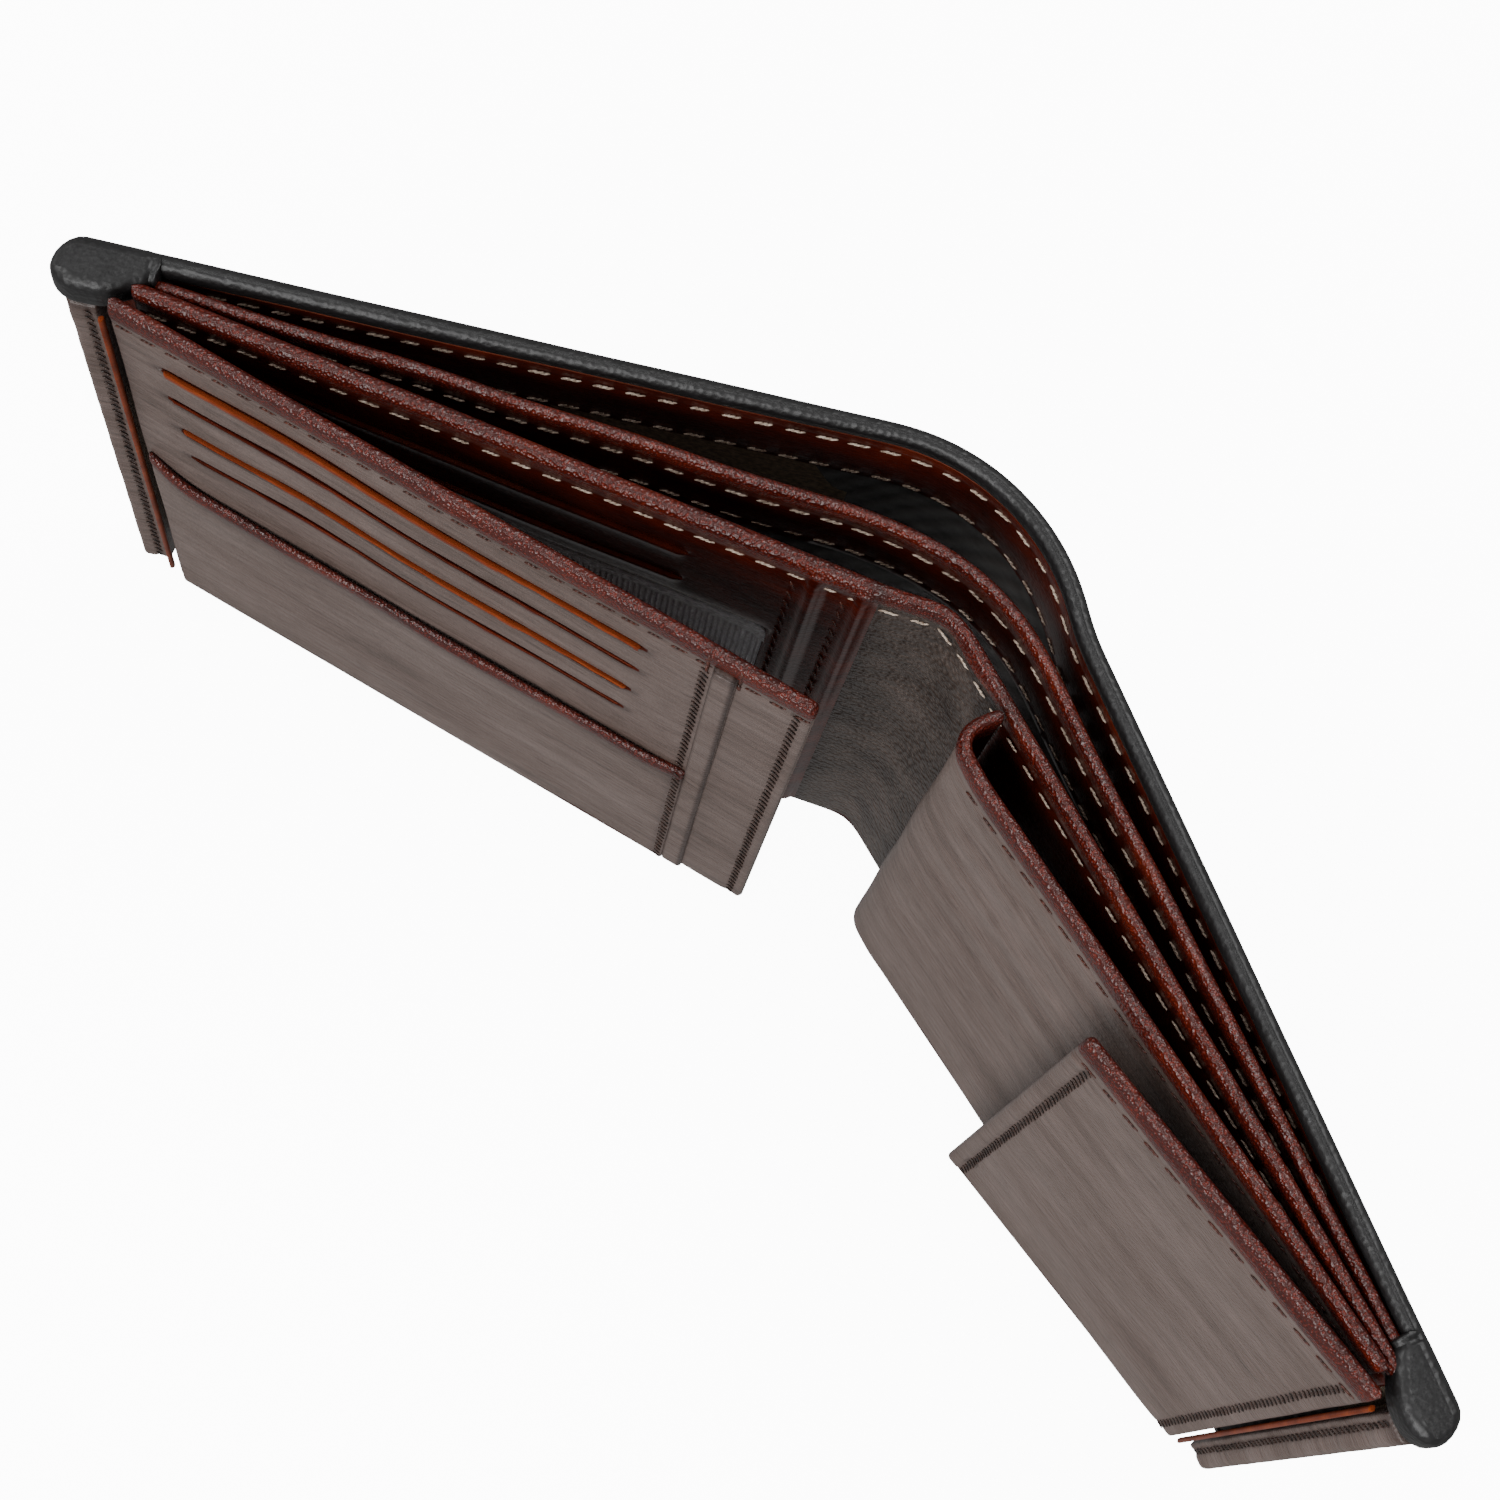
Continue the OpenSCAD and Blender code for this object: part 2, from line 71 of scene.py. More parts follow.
def left_plan(s, d):
    """A point s along the left half from the spine and d in from the cover's outer face."""
    along = np.array([-math.cos(LEAN), -math.sin(LEAN)])
    inward = np.array([math.sin(LEAN), -math.cos(LEAN)])
    return LEFT_START + s * along + d * inward


def right_plan(s, d):
    along = np.array([math.cos(LEAN), -math.sin(LEAN)])
    inward = np.array([-math.sin(LEAN), -math.cos(LEAN)])
    return RIGHT_START + s * along + d * inward


def ply_plan(plan, seam, tilt, u, w=0.0):
    """A point u from a seam towards the spine on a ply that leans tilt degrees off the cover."""
    t = math.radians(tilt)
    return plan(seam[0] - u * math.cos(t) + w * math.sin(t), seam[1] + u * math.sin(t) + w * math.cos(t))


def bend_between(a, a_way, b, b_way, reach, count=24):
    t = np.linspace(0, 1, count)[:, None]
    p1, p2 = a + a_way * reach, b - b_way * reach
    return a * (1 - t) ** 3 + 3 * p1 * t * (1 - t) ** 2 + 3 * p2 * t**2 * (1 - t) + b * t**3


def way(angle):
    return np.array([math.cos(math.radians(angle)), math.sin(math.radians(angle))])


class Run:
    """A line in plan that a piece of leather stands on, from left to right.

    place() takes the distance along it, the distance w towards the reader and the height.
    """

    def __init__(self, points, soften=0.0, wave=0.0, seed=0):
        points = np.asarray(points, float)
        step = np.linalg.norm(np.diff(points, axis=0), axis=1)
        at = np.concatenate([[0], np.cumsum(step)])
        n = max(8, int(at[-1] / RUN_STEP))
        even = np.linspace(0, at[-1], n)
        p = np.stack([np.interp(even, at, points[:, k]) for k in (0, 1)], axis=1)
        if soften:
            reach = int(3 * soften / RUN_STEP)
            weights = np.exp(-0.5 * (np.arange(-reach, reach + 1) * RUN_STEP / soften) ** 2)
            weights /= weights.sum()
            ends = np.concatenate([2 * p[0] - p[reach:0:-1], p, 2 * p[-1] - p[-2 : -reach - 2 : -1]])
            p = np.stack([np.convolve(ends[:, k], weights, "valid") for k in (0, 1)], axis=1)
        if wave:
            side = self.sides(p)
            swell = [noise.noise(Vector((a * 0.045, seed, 0.0))) for a in even]
            fade = np.minimum(1, np.minimum(even, even[-1] - even) / 12)
            p = p + side * (np.array(swell) * fade * wave)[:, None]
        self.points, self.side = p, self.sides(p)
        step = np.linalg.norm(np.diff(p, axis=0), axis=1)
        self.at = np.concatenate([[0], np.cumsum(step)])
        self.length = self.at[-1]

    @staticmethod
    def sides(p):
        ahead = np.gradient(p, axis=0)
        ahead /= np.linalg.norm(ahead, axis=1)[:, None]
        return np.stack([ahead[:, 1], -ahead[:, 0]], axis=1)

    def place(self, a, w, z):
        a, w, z = np.broadcast_arrays(np.asarray(a, float), np.asarray(w, float), np.asarray(z, float))
        here = np.stack([np.interp(a, self.at, self.points[:, k]) for k in (0, 1)], axis=-1)
        side = np.stack([np.interp(a, self.at, self.side[:, k]) for k in (0, 1)], axis=-1)
        past = a - np.clip(a, 0, self.length)
        ahead = np.stack([-side[..., 1], side[..., 0]], axis=-1)
        flat = here + side * w[..., None] + ahead * past[..., None]
        return np.concatenate([flat, z[..., None]], axis=-1)

    def nearest(self, point):
        return self.at[np.argmin(np.linalg.norm(self.points - np.asarray(point), axis=1))]


def ply_points(plan, seam, tilt, u0, u1):
    return [ply_plan(plan, seam, tilt, u) for u in np.linspace(u0, u1, 12)]


LEFT_DIVIDER, RIGHT_DIVIDER = (92, 3.6), (91, 3.0)
LEFT_INNER, RIGHT_INNER = (94, 5.0), (94, 4.4)
FLAP, COIN, COIN_FLAP = (97.5, 8.8), (92, 6.0), (95.5, 8.5)
FLAP_TILT, COIN_TILT, COIN_FLAP_TILT = 18.4, 10.5, 15.5
LEFT_DIVIDER_TILT, RIGHT_DIVIDER_TILT = 5.6, 2.6
LEFT_INNER_TILT, RIGHT_INNER_TILT = 10, 5.9
LEFT_INNER_END, RIGHT_INNER_END, COIN_ROOT = 95.3, 93.3, 88.5
FLAP_LEN = 99.8


def right_inner_ply(u, w=0.0):
    """A point on the ply behind the coins."""
    return ply_plan(right_plan, RIGHT_INNER, RIGHT_INNER_TILT, u, w)


SPINE_R = 29.5

spine_arc = [
    (SPINE_R * math.sin(a), 1 - SPINE_R + SPINE_R * math.cos(a))
    for a in np.radians(np.linspace(-HALF_OPEN, 45, 40))
]
cover_run = Run(
    [left_plan(s, 0) for s in np.linspace(LEFT_LEN, 1, 60)]
    + spine_arc
    + [right_plan(s, 0) for s in np.linspace(1, RIGHT_LEN, 60)],
    soften=2.2,
)
divider_run = Run(
    ply_points(left_plan, LEFT_DIVIDER, LEFT_DIVIDER_TILT, 0, 78)
    + list(
        bend_between(
            ply_plan(left_plan, LEFT_DIVIDER, LEFT_DIVIDER_TILT, 78.3),
            way(HALF_OPEN - LEFT_DIVIDER_TILT),
            ply_plan(right_plan, RIGHT_DIVIDER, RIGHT_DIVIDER_TILT, 90.3),
            way(RIGHT_DIVIDER_TILT - HALF_OPEN),
            17,
        )
    )
    + ply_points(right_plan, RIGHT_DIVIDER, RIGHT_DIVIDER_TILT, 90, 0),
    soften=2.0,
    wave=0.7,
    seed=3,
)
inner_run = Run(
    ply_points(left_plan, LEFT_INNER, LEFT_INNER_TILT, 0, 95)
    + list(
        bend_between(
            ply_plan(left_plan, LEFT_INNER, LEFT_INNER_TILT, LEFT_INNER_END),
            way(HALF_OPEN - LEFT_INNER_TILT),
            right_inner_ply(RIGHT_INNER_END),
            way(RIGHT_INNER_TILT - HALF_OPEN),
            13,
        )
    )
    + ply_points(right_plan, RIGHT_INNER, RIGHT_INNER_TILT, 93, 0),
    soften=1.6,
)
flap_run = Run(ply_points(left_plan, FLAP, FLAP_TILT, 0, FLAP_LEN))
coin_flap_run = Run(ply_points(right_plan, COIN_FLAP, COIN_FLAP_TILT, 52, 0))
coin_corner = ply_plan(right_plan, COIN, COIN_TILT, 81.3)
coin_root = right_inner_ply(COIN_ROOT, 1.3)
coin_curl = [coin_root, coin_root + (-1.3, -2.2), coin_root + (-2.1, -4.2), coin_root + (-1.2, -6.4)]
coin_run = Run(coin_curl + ply_points(right_plan, COIN, COIN_TILT, 80, 0), soften=1.1)

# ---------------------------------------------------------------- materials


def linear(hex_colour):
    """sRGB hex to the linear colour that Blender's sockets take."""
    parts = [int(hex_colour[i : i + 2], 16) / 255 for i in (0, 2, 4)]
    return [c / 12.92 if c <= 0.04045 else ((c + 0.055) / 1.055) ** 2.4 for c in parts] + [1.0]


class Finish:
    """A material being put together: node() adds one node with its settings and links."""

    def __init__(self, name):
        self.material = bpy.data.materials.new(name)
        self.material.use_nodes = True
        self.tree = self.material.node_tree
        self.shader = self.tree.nodes["Principled BSDF"]

    def node(self, kind, settings=None, links=None):
        added = self.tree.nodes.new(kind)
        for key, value in (settings or {}).items():
            if hasattr(added, key) and key not in added.inputs:
                setattr(added, key, value)
            else:
                added.inputs[key].default_value = value
        for key, source in (links or {}).items():
            self.tree.links.new(source, added.inputs[key])
        return added

    def surface(self, settings=None, links=None):
        for key, value in (settings or {}).items():
            self.shader.inputs[key].default_value = value
        for key, source in (links or {}).items():
            self.tree.links.new(source, self.shader.inputs[key])

    def bump(self, height, strength, distance, below=None):
        links = {"Height": height}
        if below:
            links["Normal"] = below
        return self.node("ShaderNodeBump", {"Strength": strength, "Distance": distance}, links).outputs[0]

    def painted_shade_and_wear(self):
        """How much each place is darkened: the edge values that cut() stores, mostly painted shade in
        creases, slits, under rolled tops and between parts, and on the end bindings also their needle cracks.
        """
        return self.node("ShaderNodeAttribute", {"attribute_name": "edge"}).outputs["Fac"]

    def ramp(self, factor, stops, interpolation="LINEAR"):
        added = self.node("ShaderNodeValToRGB", links={"Fac": factor})
        ramp = added.color_ramp
        ramp.interpolation = interpolation
        while len(ramp.elements) < len(stops):
            ramp.elements.new(0.5)
        for element, (at, colour) in zip(ramp.elements, stops):
            element.position = at
            element.color = linear(colour) if isinstance(colour, str) else (colour, colour, colour, 1)
        return added.outputs[0]

    def mix(self, factor, a, b, blend="MIX"):
        added = self.node("ShaderNodeMix", {"data_type": "RGBA", "blend_type": blend})
        for socket, value in ((added.inputs[0], factor), (added.inputs[6], a), (added.inputs[7], b)):
            if isinstance(value, bpy.types.NodeSocket):
                self.tree.links.new(value, socket)
            else:
                socket.default_value = linear(value) if isinstance(value, str) else value
        return added.outputs[2]


def leather_grain(finish, along, across, detail=3.0, coordinate="UV"):
    """Noise drawn out along the hide: along and across are the lengths of one mark in millimetres."""
    place = finish.node("ShaderNodeTexCoord").outputs[coordinate]
    stretch = (1 / (along * MM), 1 / (across * MM), 1 / (across * MM))
    mapped = finish.node("ShaderNodeMapping", {"Scale": stretch}, {"Vector": place}).outputs[0]
    return finish.node("ShaderNodeTexNoise", {"Scale": 1.0, "Detail": detail}, {"Vector": mapped}).outputs[0]


def pebbles(finish, size):
    """The cells between the pores of a hide, size millimetres across."""
    place = finish.node("ShaderNodeTexCoord").outputs["Object"]
    settings = {"feature": "SMOOTH_F1", "Scale": 1 / (size * MM), "Smoothness": 0.5}
    return finish.node("ShaderNodeTexVoronoi", settings, {"Vector": place}).outputs["Distance"]


def waxed_taupe():
    """Vegetable-tanned calf, dyed taupe over brown and waxed by hand: the wax pulls up pale where it
    is stretched, and leaves long dark streaks along the hide and a soft shine at low angles."""
    f = Finish("waxed_taupe_calf")
    streaks = leather_grain(f, 26, 1.3, 5)
    clouds = leather_grain(f, 34, 12, 3)
    fine = leather_grain(f, 3.2, 0.28, 4)
    base = f.ramp(streaks, [(0.28, "22120d"), (0.42, "49372f"), (0.58, "604e48"), (0.8, "76655f")])
    cloudy = f.mix(0.45, base, f.ramp(clouds, [(0.3, "38291f"), (0.7, "72635e")]))
    colour = f.mix(0.25, cloudy, f.ramp(fine, [(0.35, "1a0e0a"), (0.6, "7c6c66")]))
    # the edge values darken the face towards 241009: painted shade in creases, slits and between parts
    shade_and_wear = f.painted_shade_and_wear()
    colour = f.mix(shade_and_wear, colour, "241009")
    lift = f.bump(pebbles(f, 0.5), 0.6, 0.00014)
    lift = f.bump(fine, 0.7, 0.00018, lift)
    lift = f.bump(streaks, 0.5, 0.0003, lift)
    shine = f.ramp(clouds, [(0.3, 0.5), (0.7, 0.4)])
    f.surface(
        {"IOR": 1.48, "Sheen Weight": 0.12, "Sheen Roughness": 0.45, "Sheen Tint": linear("b9aca6")},
        {"Base Color": colour, "Roughness": shine, "Normal": lift},
    )
    return f.material


def pebbled_taupe():
    """The same hide where it is shrunk into the soft gusset: round grain that is left unwaxed."""
    f = Finish("pebbled_taupe_calf")
    cells = pebbles(f, 0.8)
    clouds = leather_grain(f, 9, 9, 4, "Object")
    # the edge values darken the gusset towards 1d0b06: painted shade at its fold, under its rolled top and
    # behind the coin pocket
    shade_and_wear = f.painted_shade_and_wear()
    colour = f.ramp(clouds, [(0.3, "241a15"), (0.5, "40352f"), (0.72, "5a4d47")])
    colour = f.mix(0.35, colour, f.ramp(cells, [(0.1, "63564f"), (0.5, "1d130f")]))
    colour = f.mix(shade_and_wear, colour, "1d0b06")
    lift = f.bump(cells, 1.0, 0.00045)
    lift = f.bump(clouds, 0.6, 0.0006, lift)
    f.surface({"IOR": 1.48, "Roughness": 0.42}, {"Base Color": colour, "Normal": lift})
    return f.material


def glazed_brown(name="glazed_brown_calf", dark="1a0502", mid="3a0f07", light="5c1d0a", roughness=0.3):
    """Calf stained red-brown and glazed under a glass roller: dark, even and shiny, with the grain
    only just felt."""
    f = Finish(name)
    clouds = leather_grain(f, 14, 5, 4)
    fine = leather_grain(f, 1.6, 0.4, 4)
    colour = f.ramp(clouds, [(0.25, dark), (0.5, mid), (0.78, light)])
    colour = f.mix(0.25, colour, f.ramp(fine, [(0.35, dark), (0.7, light)]))
    lift = f.bump(fine, 0.35, 0.0001)
    lift = f.bump(pebbles(f, 0.6), 0.2, 0.0001, lift)
    f.surface(
        {"IOR": 1.5, "Roughness": roughness, "Specular Tint": linear("9a5c46")},
        {"Base Color": colour, "Normal": lift},
    )
    return f.material


def burnished_roll():
    """Edges skived thin, rolled over and rubbed hot: red-brown with a fine pinched grain whose cells are
    light orange at their centres as painted speckled highlights, and dark at their rims with wax and painted
    shade."""
    f = Finish("burnished_rolled_edge")
    cells = pebbles(f, 0.42)
    clouds = leather_grain(f, 12, 3, 4)
    colour = f.ramp(clouds, [(0.25, "2a0602"), (0.5, "4e1006"), (0.75, "6e220c")])
    # grain cells: light orange centres are painted speckled highlights, dark rims partly painted shade
    colour = f.mix(0.55, colour, f.ramp(cells, [(0.05, "7a2410"), (0.5, "240602")]))
    # the edge values darken the foot of the roll towards 1c0a07: painted shade in the crease under it
    shade_and_wear = f.painted_shade_and_wear()
    colour = f.mix(shade_and_wear, colour, "1c0a07")
    lift = f.bump(cells, 0.9, 0.00026)
    lift = f.bump(clouds, 0.4, 0.0003, lift)
    f.surface({"IOR": 1.5, "Roughness": 0.33}, {"Base Color": colour, "Normal": lift})
    return f.material


def black_cover():
    """Full-grain cowhide finished with black pigment: a tight, pebbled grain and a dull shine that is
    rubbed a little grey along the turned edges."""
    f = Finish("black_pebbled_cowhide")
    cells = pebbles(f, 0.75)
    rub = leather_grain(f, 5, 1.6, 5)
    colour = f.ramp(rub, [(0.35, "0b0a0a"), (0.6, "141314"), (0.78, "242325")])
    colour = f.mix(0.3, colour, f.ramp(cells, [(0.05, "201f20"), (0.6, "080707")]))
    lift = f.bump(cells, 0.5, 0.0002)
    lift = f.bump(rub, 0.35, 0.0003, lift)
    f.surface({"IOR": 1.48, "Roughness": 0.46}, {"Base Color": colour, "Normal": lift})
    return f.material


def lining_twill():
    """Spun polyester twill, near black: diagonal ribs, drawn 0.5 mm apart so that they still show."""
    f = Finish("woven_lining_twill")
    place = f.node("ShaderNodeTexCoord").outputs["UV"]
    turn = f.node("ShaderNodeMapping", {"Rotation": (0, 0, math.radians(38))}, {"Vector": place}).outputs[0]
    settings = {"wave_profile": "SIN", "Scale": 100.0, "Distortion": 0.3}
    ribs = f.node("ShaderNodeTexWave", settings, {"Vector": turn}).outputs["Fac"]
    folds = leather_grain(f, 22, 14, 3)
    colour = f.ramp(ribs, [(0.2, "070505"), (0.8, "2a211d")])
    colour = f.mix(0.4, colour, f.ramp(folds, [(0.3, "060404"), (0.7, "33221b")]))
    lift = f.bump(ribs, 0.6, 0.0001)
    lift = f.bump(folds, 0.6, 0.001, lift)
    f.surface(
        {"Roughness": 0.62, "Sheen Weight": 0.3, "Sheen Roughness": 0.4},
        {"Base Color": colour, "Normal": lift},
    )
    return f.material


def ribbed_mesh():
    """Grey nylon grosgrain: matt threads with a little shine along each rib."""
    f = Finish("woven_grey_grosgrain")
    fine = leather_grain(f, 0.9, 0.25, 3)
    colour = f.ramp(fine, [(0.3, "9c9ea1"), (0.65, "c9cbce")])
    f.surface(
        {"Roughness": 0.6, "Sheen Weight": 0.3},
        {"Base Color": colour, "Normal": f.bump(fine, 0.5, 0.00008)},
    )
    return f.material


def thread(name, dark, light):
    """Waxed polyester sewing thread, twisted from two plies: a short gleam on every turn."""
    f = Finish(name)
    twist = leather_grain(f, 0.5, 0.5, 2, "Object")
    colour = f.ramp(twist, [(0.3, dark), (0.7, light)])
    f.surface({"Roughness": 0.42}, {"Base Color": colour})
    return f.material


def backing_board():
    """Bonded fibre board, grey-brown and matt, with short fibres pressed flat."""
    f = Finish("bonded_fibre_board")
    fibres = leather_grain(f, 3, 0.4, 4, "Object")
    colour = f.ramp(fibres, [(0.3, "6c5e4d"), (0.7, "93836e")])
    f.surface({"Roughness": 0.85}, {"Base Color": colour, "Normal": f.bump(fibres, 0.3, 0.0001)})
    return f.material


TAUPE, PEBBLED = waxed_taupe(), pebbled_taupe()
BROWN = glazed_brown()
# SHADE is painted shade: a dark brown on the hidden backs of the panels and in the open gaps of the card
# flap's slits
SHADE = glazed_brown("painted_shade_brown", "160503", "2e0c06", "4a180c", 0.5)
TAB = glazed_brown("burnished_orange_edge", "3c1409", "6b2a14", "8a421f", 0.42)
ROLL, BLACK = burnished_roll(), black_cover()
TWILL, MESH = lining_twill(), ribbed_mesh()
LIGHT_THREAD = thread("beige_waxed_thread", "8a7463", "e0cfbd")
DARK_THREAD = thread("brown_waxed_thread", "120805", "382015")
RED_THREAD = thread("red_brown_waxed_thread", "1e0a05", "55281a")
BOARD = backing_board()

# ---------------------------------------------------------------- cutting and rolling leather


def smooth_step(x):
    x = np.clip(x, 0, 1)
    return x * x * (3 - 2 * x)


def swell(a, z, size, seed, depth):
    """A soft unevenness of the leather, size millimetres across and depth high."""
    return depth * noise.noise(Vector((a / size, z / size, seed * 7.3)))


def drift(a, rate, seed):
    """A slow wander along a piece, between -1 and 1."""
    return noise.noise(Vector((a * rate, seed, 0.0)))


def hump(x, at, width):
    """A round hump of height 1 at one place."""
    return math.exp(-(((x - at) / width) ** 2))


def stations(a0, a1, step=0.8, rounded=(0.8, 0.8)):
    """Where the cross sections of a piece stand, closer together at its rounded ends."""
    left, right = rounded
    n = max(2, int(round((a1 - a0 - left - right) / step)))
    turn = 1 - np.cos(np.linspace(0, math.pi / 2, 7)[:-1])
    start = a0 + left * turn if left else np.zeros(0)
    end = (a1 - right * turn)[::-1] if right else np.zeros(0)
    return np.concatenate([start, np.linspace(a0 + left, a1 - right, n + 1), end])


def wall(z0, z1, w0, w1, front, back, roll, foot=0.5, steps=7):
    """A closed cross section as (w, z, material): up the front, over the rolled top, down the back.

    front and back are lists of (z, w offset, material) from the foot to the top of the flat part.
    roll is (half thickness beyond the faces, height of the round, material).
    """
    points, stuff = [], []
    for z, dw, m in front:
        points.append((w1 + dw, z))
        stuff.append(m)
    bulge, rise, m = roll
    mid, half = (w0 + w1) / 2, (w1 - w0) / 2 + bulge
    for t in np.linspace(0, math.pi, steps + 2):
        points.append((mid + half * math.cos(t), z1 - rise + rise * math.sin(t)))
        stuff.append(m)
    for z, dw, m in reversed(back):
        points.append((w0 - dw, z))
        stuff.append(m)
    for t in np.linspace(math.pi, 2 * math.pi, 5)[1:-1]:
        points.append(((w0 + w1) / 2 + (w1 - w0) / 2 * math.cos(t), z0 + foot + foot * math.sin(t)))
        stuff.append(back[0][2])
    return points, stuff


def cut(name, run, at, section, rounded=(0.8, 0.8), corner=(0.0, 0.0), edge=None):
    """A closed piece of leather: the cross section section(a) at every station, joined up.

    section gives (points, materials), with the same number of points everywhere. rounded is the
    radius of each end in plan and corner the radius of its corners seen from the front, left and
    right. edge(a, z) is how much a place is darkened, from 0 to 1: mostly painted shade in creases,
    slits and between parts, and needle cracks on the end bindings.
    """
    rings, kinds, flats = [], [], []
    for a in at:
        points, stuff = section(a)
        p = np.array(points, float)
        for end, round_plan, round_front in zip((a - at[0], at[-1] - a), rounded, corner):
            if end < round_plan:
                mid = (p[:, 0].max() + p[:, 0].min()) / 2
                p[:, 0] = mid + (p[:, 0] - mid) * max(0.12, math.sqrt(1 - (1 - end / round_plan) ** 2))
            if end < round_front:
                drop = round_front - math.sqrt(round_front**2 - (round_front - end) ** 2)
                top, reach = p[:, 1].max(), 2 * round_front
                p[:, 1] -= drop * np.clip((p[:, 1] - top + reach) / reach, 0, 1)
        rings.append(run.place(a, p[:, 0], p[:, 1]))
        flats.append(p)
        kinds.append(stuff)
    rings, flats = np.array(rings), np.array(flats)
    n, k = rings.shape[:2]
    mesh = bpy.data.meshes.new(name)
    faces = [
        (i * k + j, i * k + (j + 1) % k, (i + 1) * k + (j + 1) % k, (i + 1) * k + j)
        for i in range(n - 1)
        for j in range(k)
    ]
    faces += [tuple(range(k))[::-1], tuple((n - 1) * k + j for j in range(k))]
    mesh.from_pydata((rings.reshape(-1, 3) * MM).tolist(), [], faces)
    used = []
    for ring in kinds:
        for m in ring:
            if m not in used:
                used.append(m)
    for m in used:
        mesh.materials.append(m)
    which = [used.index(kinds[i][j]) for i in range(n - 1) for j in range(k)]
    which += [used.index(kinds[0][k // 2]), used.index(kinds[-1][k // 2])]
    mesh.polygons.foreach_set("material_index", which)
    length = np.concatenate([[0], np.cumsum(np.linalg.norm(np.diff(flats[n // 2], axis=0), axis=1))])
    uv = mesh.uv_layers.new(name="cut")
    flat = np.zeros((n, k, 2))
    flat[..., 0] = np.asarray(at)[:, None] * MM
    flat[..., 1] = flats[..., 1] * MM + (flats[..., 0] < flats[..., 0].mean()) * 0.3
    flat = flat.reshape(-1, 2)
    corners = np.zeros(len(mesh.loops), int)
    mesh.loops.foreach_get("vertex_index", corners)
    uv.data.foreach_set("uv", flat[corners].ravel())
    if edge:
        # the edge values go into the edge attribute: mostly painted shade
        shade_and_wear = mesh.attributes.new("edge", "FLOAT", "POINT")
        values = [edge(a, z) for a, ring in zip(at, flats) for z in ring[:, 1]]
        shade_and_wear.data.foreach_set("value", np.clip(values, 0, 1).astype(np.float32))
    return finish_mesh(name, mesh)


def finish_mesh(name, mesh, sharp=40):
    """Links a mesh as an object, with its faces outwards and its corners shaded crisply."""
    work = bmesh.new()
    work.from_mesh(mesh)
    bmesh.ops.recalc_face_normals(work, faces=work.faces)
    work.to_mesh(mesh)
    work.free()
    mesh.shade_smooth()
    mesh.set_sharp_from_angle(angle=math.radians(sharp))
    made = bpy.data.objects.new(name, mesh)
    bpy.context.scene.collection.objects.link(made)
    return slot_of(made)


def slot_of(piece):
    return piece


# ---------------------------------------------------------------- stitches


def stitch_tree():
    """Sets twisted stitches along a line: every one is three short strands laid across each other."""
    tree = bpy.data.node_groups.new("sewn_row", "GeometryNodeTree")
    face = tree.interface
    face.new_socket("Line", in_out="INPUT", socket_type="NodeSocketGeometry")
    for name, value in (("Pitch", 0.0038), ("Length", 0.0028), ("Thickness", 0.0005), ("Slant", 0.0)):
        face.new_socket(name, in_out="INPUT", socket_type="NodeSocketFloat").default_value = value
    face.new_socket("Seed", in_out="INPUT", socket_type="NodeSocketInt").default_value = 4
    face.new_socket("Thread", in_out="INPUT", socket_type="NodeSocketMaterial")
    face.new_socket("Stitches", in_out="OUTPUT", socket_type="NodeSocketGeometry")

    def node(kind, settings=None, links=None):
        added = tree.nodes.new(kind)
        for key, value in (settings or {}).items():
            if isinstance(key, int) or key in added.inputs:
                added.inputs[key].default_value = value
            else:
                setattr(added, key, value)
        for key, source in (links or {}).items():
            tree.links.new(source, added.inputs[key])
        return added

    given = node("NodeGroupInput").outputs
    curve = node("GeometryNodeMeshToCurve", links={"Mesh": given["Line"]})
    spaced = node(
        "GeometryNodeResampleCurve", {"mode": "LENGTH"}, {"Curve": curve.outputs[0], "Length": given["Pitch"]}
    )
    ahead = node("GeometryNodeInputTangent")
    out = node("GeometryNodeInputNamedAttribute", {"data_type": "FLOAT_VECTOR", "Name": "out"})
    turned = node(
        "FunctionNodeAxesToRotation",
        {"primary_axis": "X", "secondary_axis": "Z"},
        {"Primary Axis": ahead.outputs[0], "Secondary Axis": out.outputs[0]},
    )
    strands = node("GeometryNodeJoinGeometry")
    for shift in (-1, 0, 1):
        strand = node("GeometryNodeMeshIcoSphere", {"Radius": 1.0, "Subdivisions": 1})
        third = node("ShaderNodeMath", {"operation": "MULTIPLY", 1: 0.27}, {0: given["Length"]})
        thick = node("ShaderNodeMath", {"operation": "MULTIPLY", 1: 0.5}, {0: given["Thickness"]})
        size = node(
            "ShaderNodeCombineXYZ",
            links={"X": third.outputs[0], "Y": thick.outputs[0], "Z": thick.outputs[0]},
        )
        apart = node("ShaderNodeMath", {"operation": "MULTIPLY", 1: 0.25 * shift}, {0: given["Length"]})
        spot = node("ShaderNodeCombineXYZ", links={"X": apart.outputs[0]})
        placed = node(
            "GeometryNodeTransform",
            {"Rotation": (0, 0, math.radians(24))},
            {"Geometry": strand.outputs[0], "Translation": spot.outputs[0], "Scale": size.outputs[0]},
        )
        tree.links.new(placed.outputs[0], strands.inputs[0])
    slanted = node("ShaderNodeCombineXYZ", links={"Z": given["Slant"]})
    stitch = node(
        "GeometryNodeTransform", links={"Geometry": strands.outputs[0], "Rotation": slanted.outputs[0]}
    )
    vary = node(
        "FunctionNodeRandomValue",
        {"data_type": "FLOAT_VECTOR", 0: (0.86, 0.85, 0.85), 1: (1.08, 1.12, 1.15)},
        {"Seed": given["Seed"]},
    )
    rows = node(
        "GeometryNodeInstanceOnPoints",
        links={
            "Points": spaced.outputs[0],
            "Instance": stitch.outputs[0],
            "Rotation": turned.outputs[0],
            "Scale": vary.outputs[0],
        },
    )
    real = node("GeometryNodeRealizeInstances", links={"Geometry": rows.outputs[0]})
    dyed = node("GeometryNodeSetMaterial", links={"Geometry": real.outputs[0], "Material": given["Thread"]})
    tree.links.new(dyed.outputs[0], node("NodeGroupOutput").inputs[0])
    return tree


SEWING = stitch_tree()


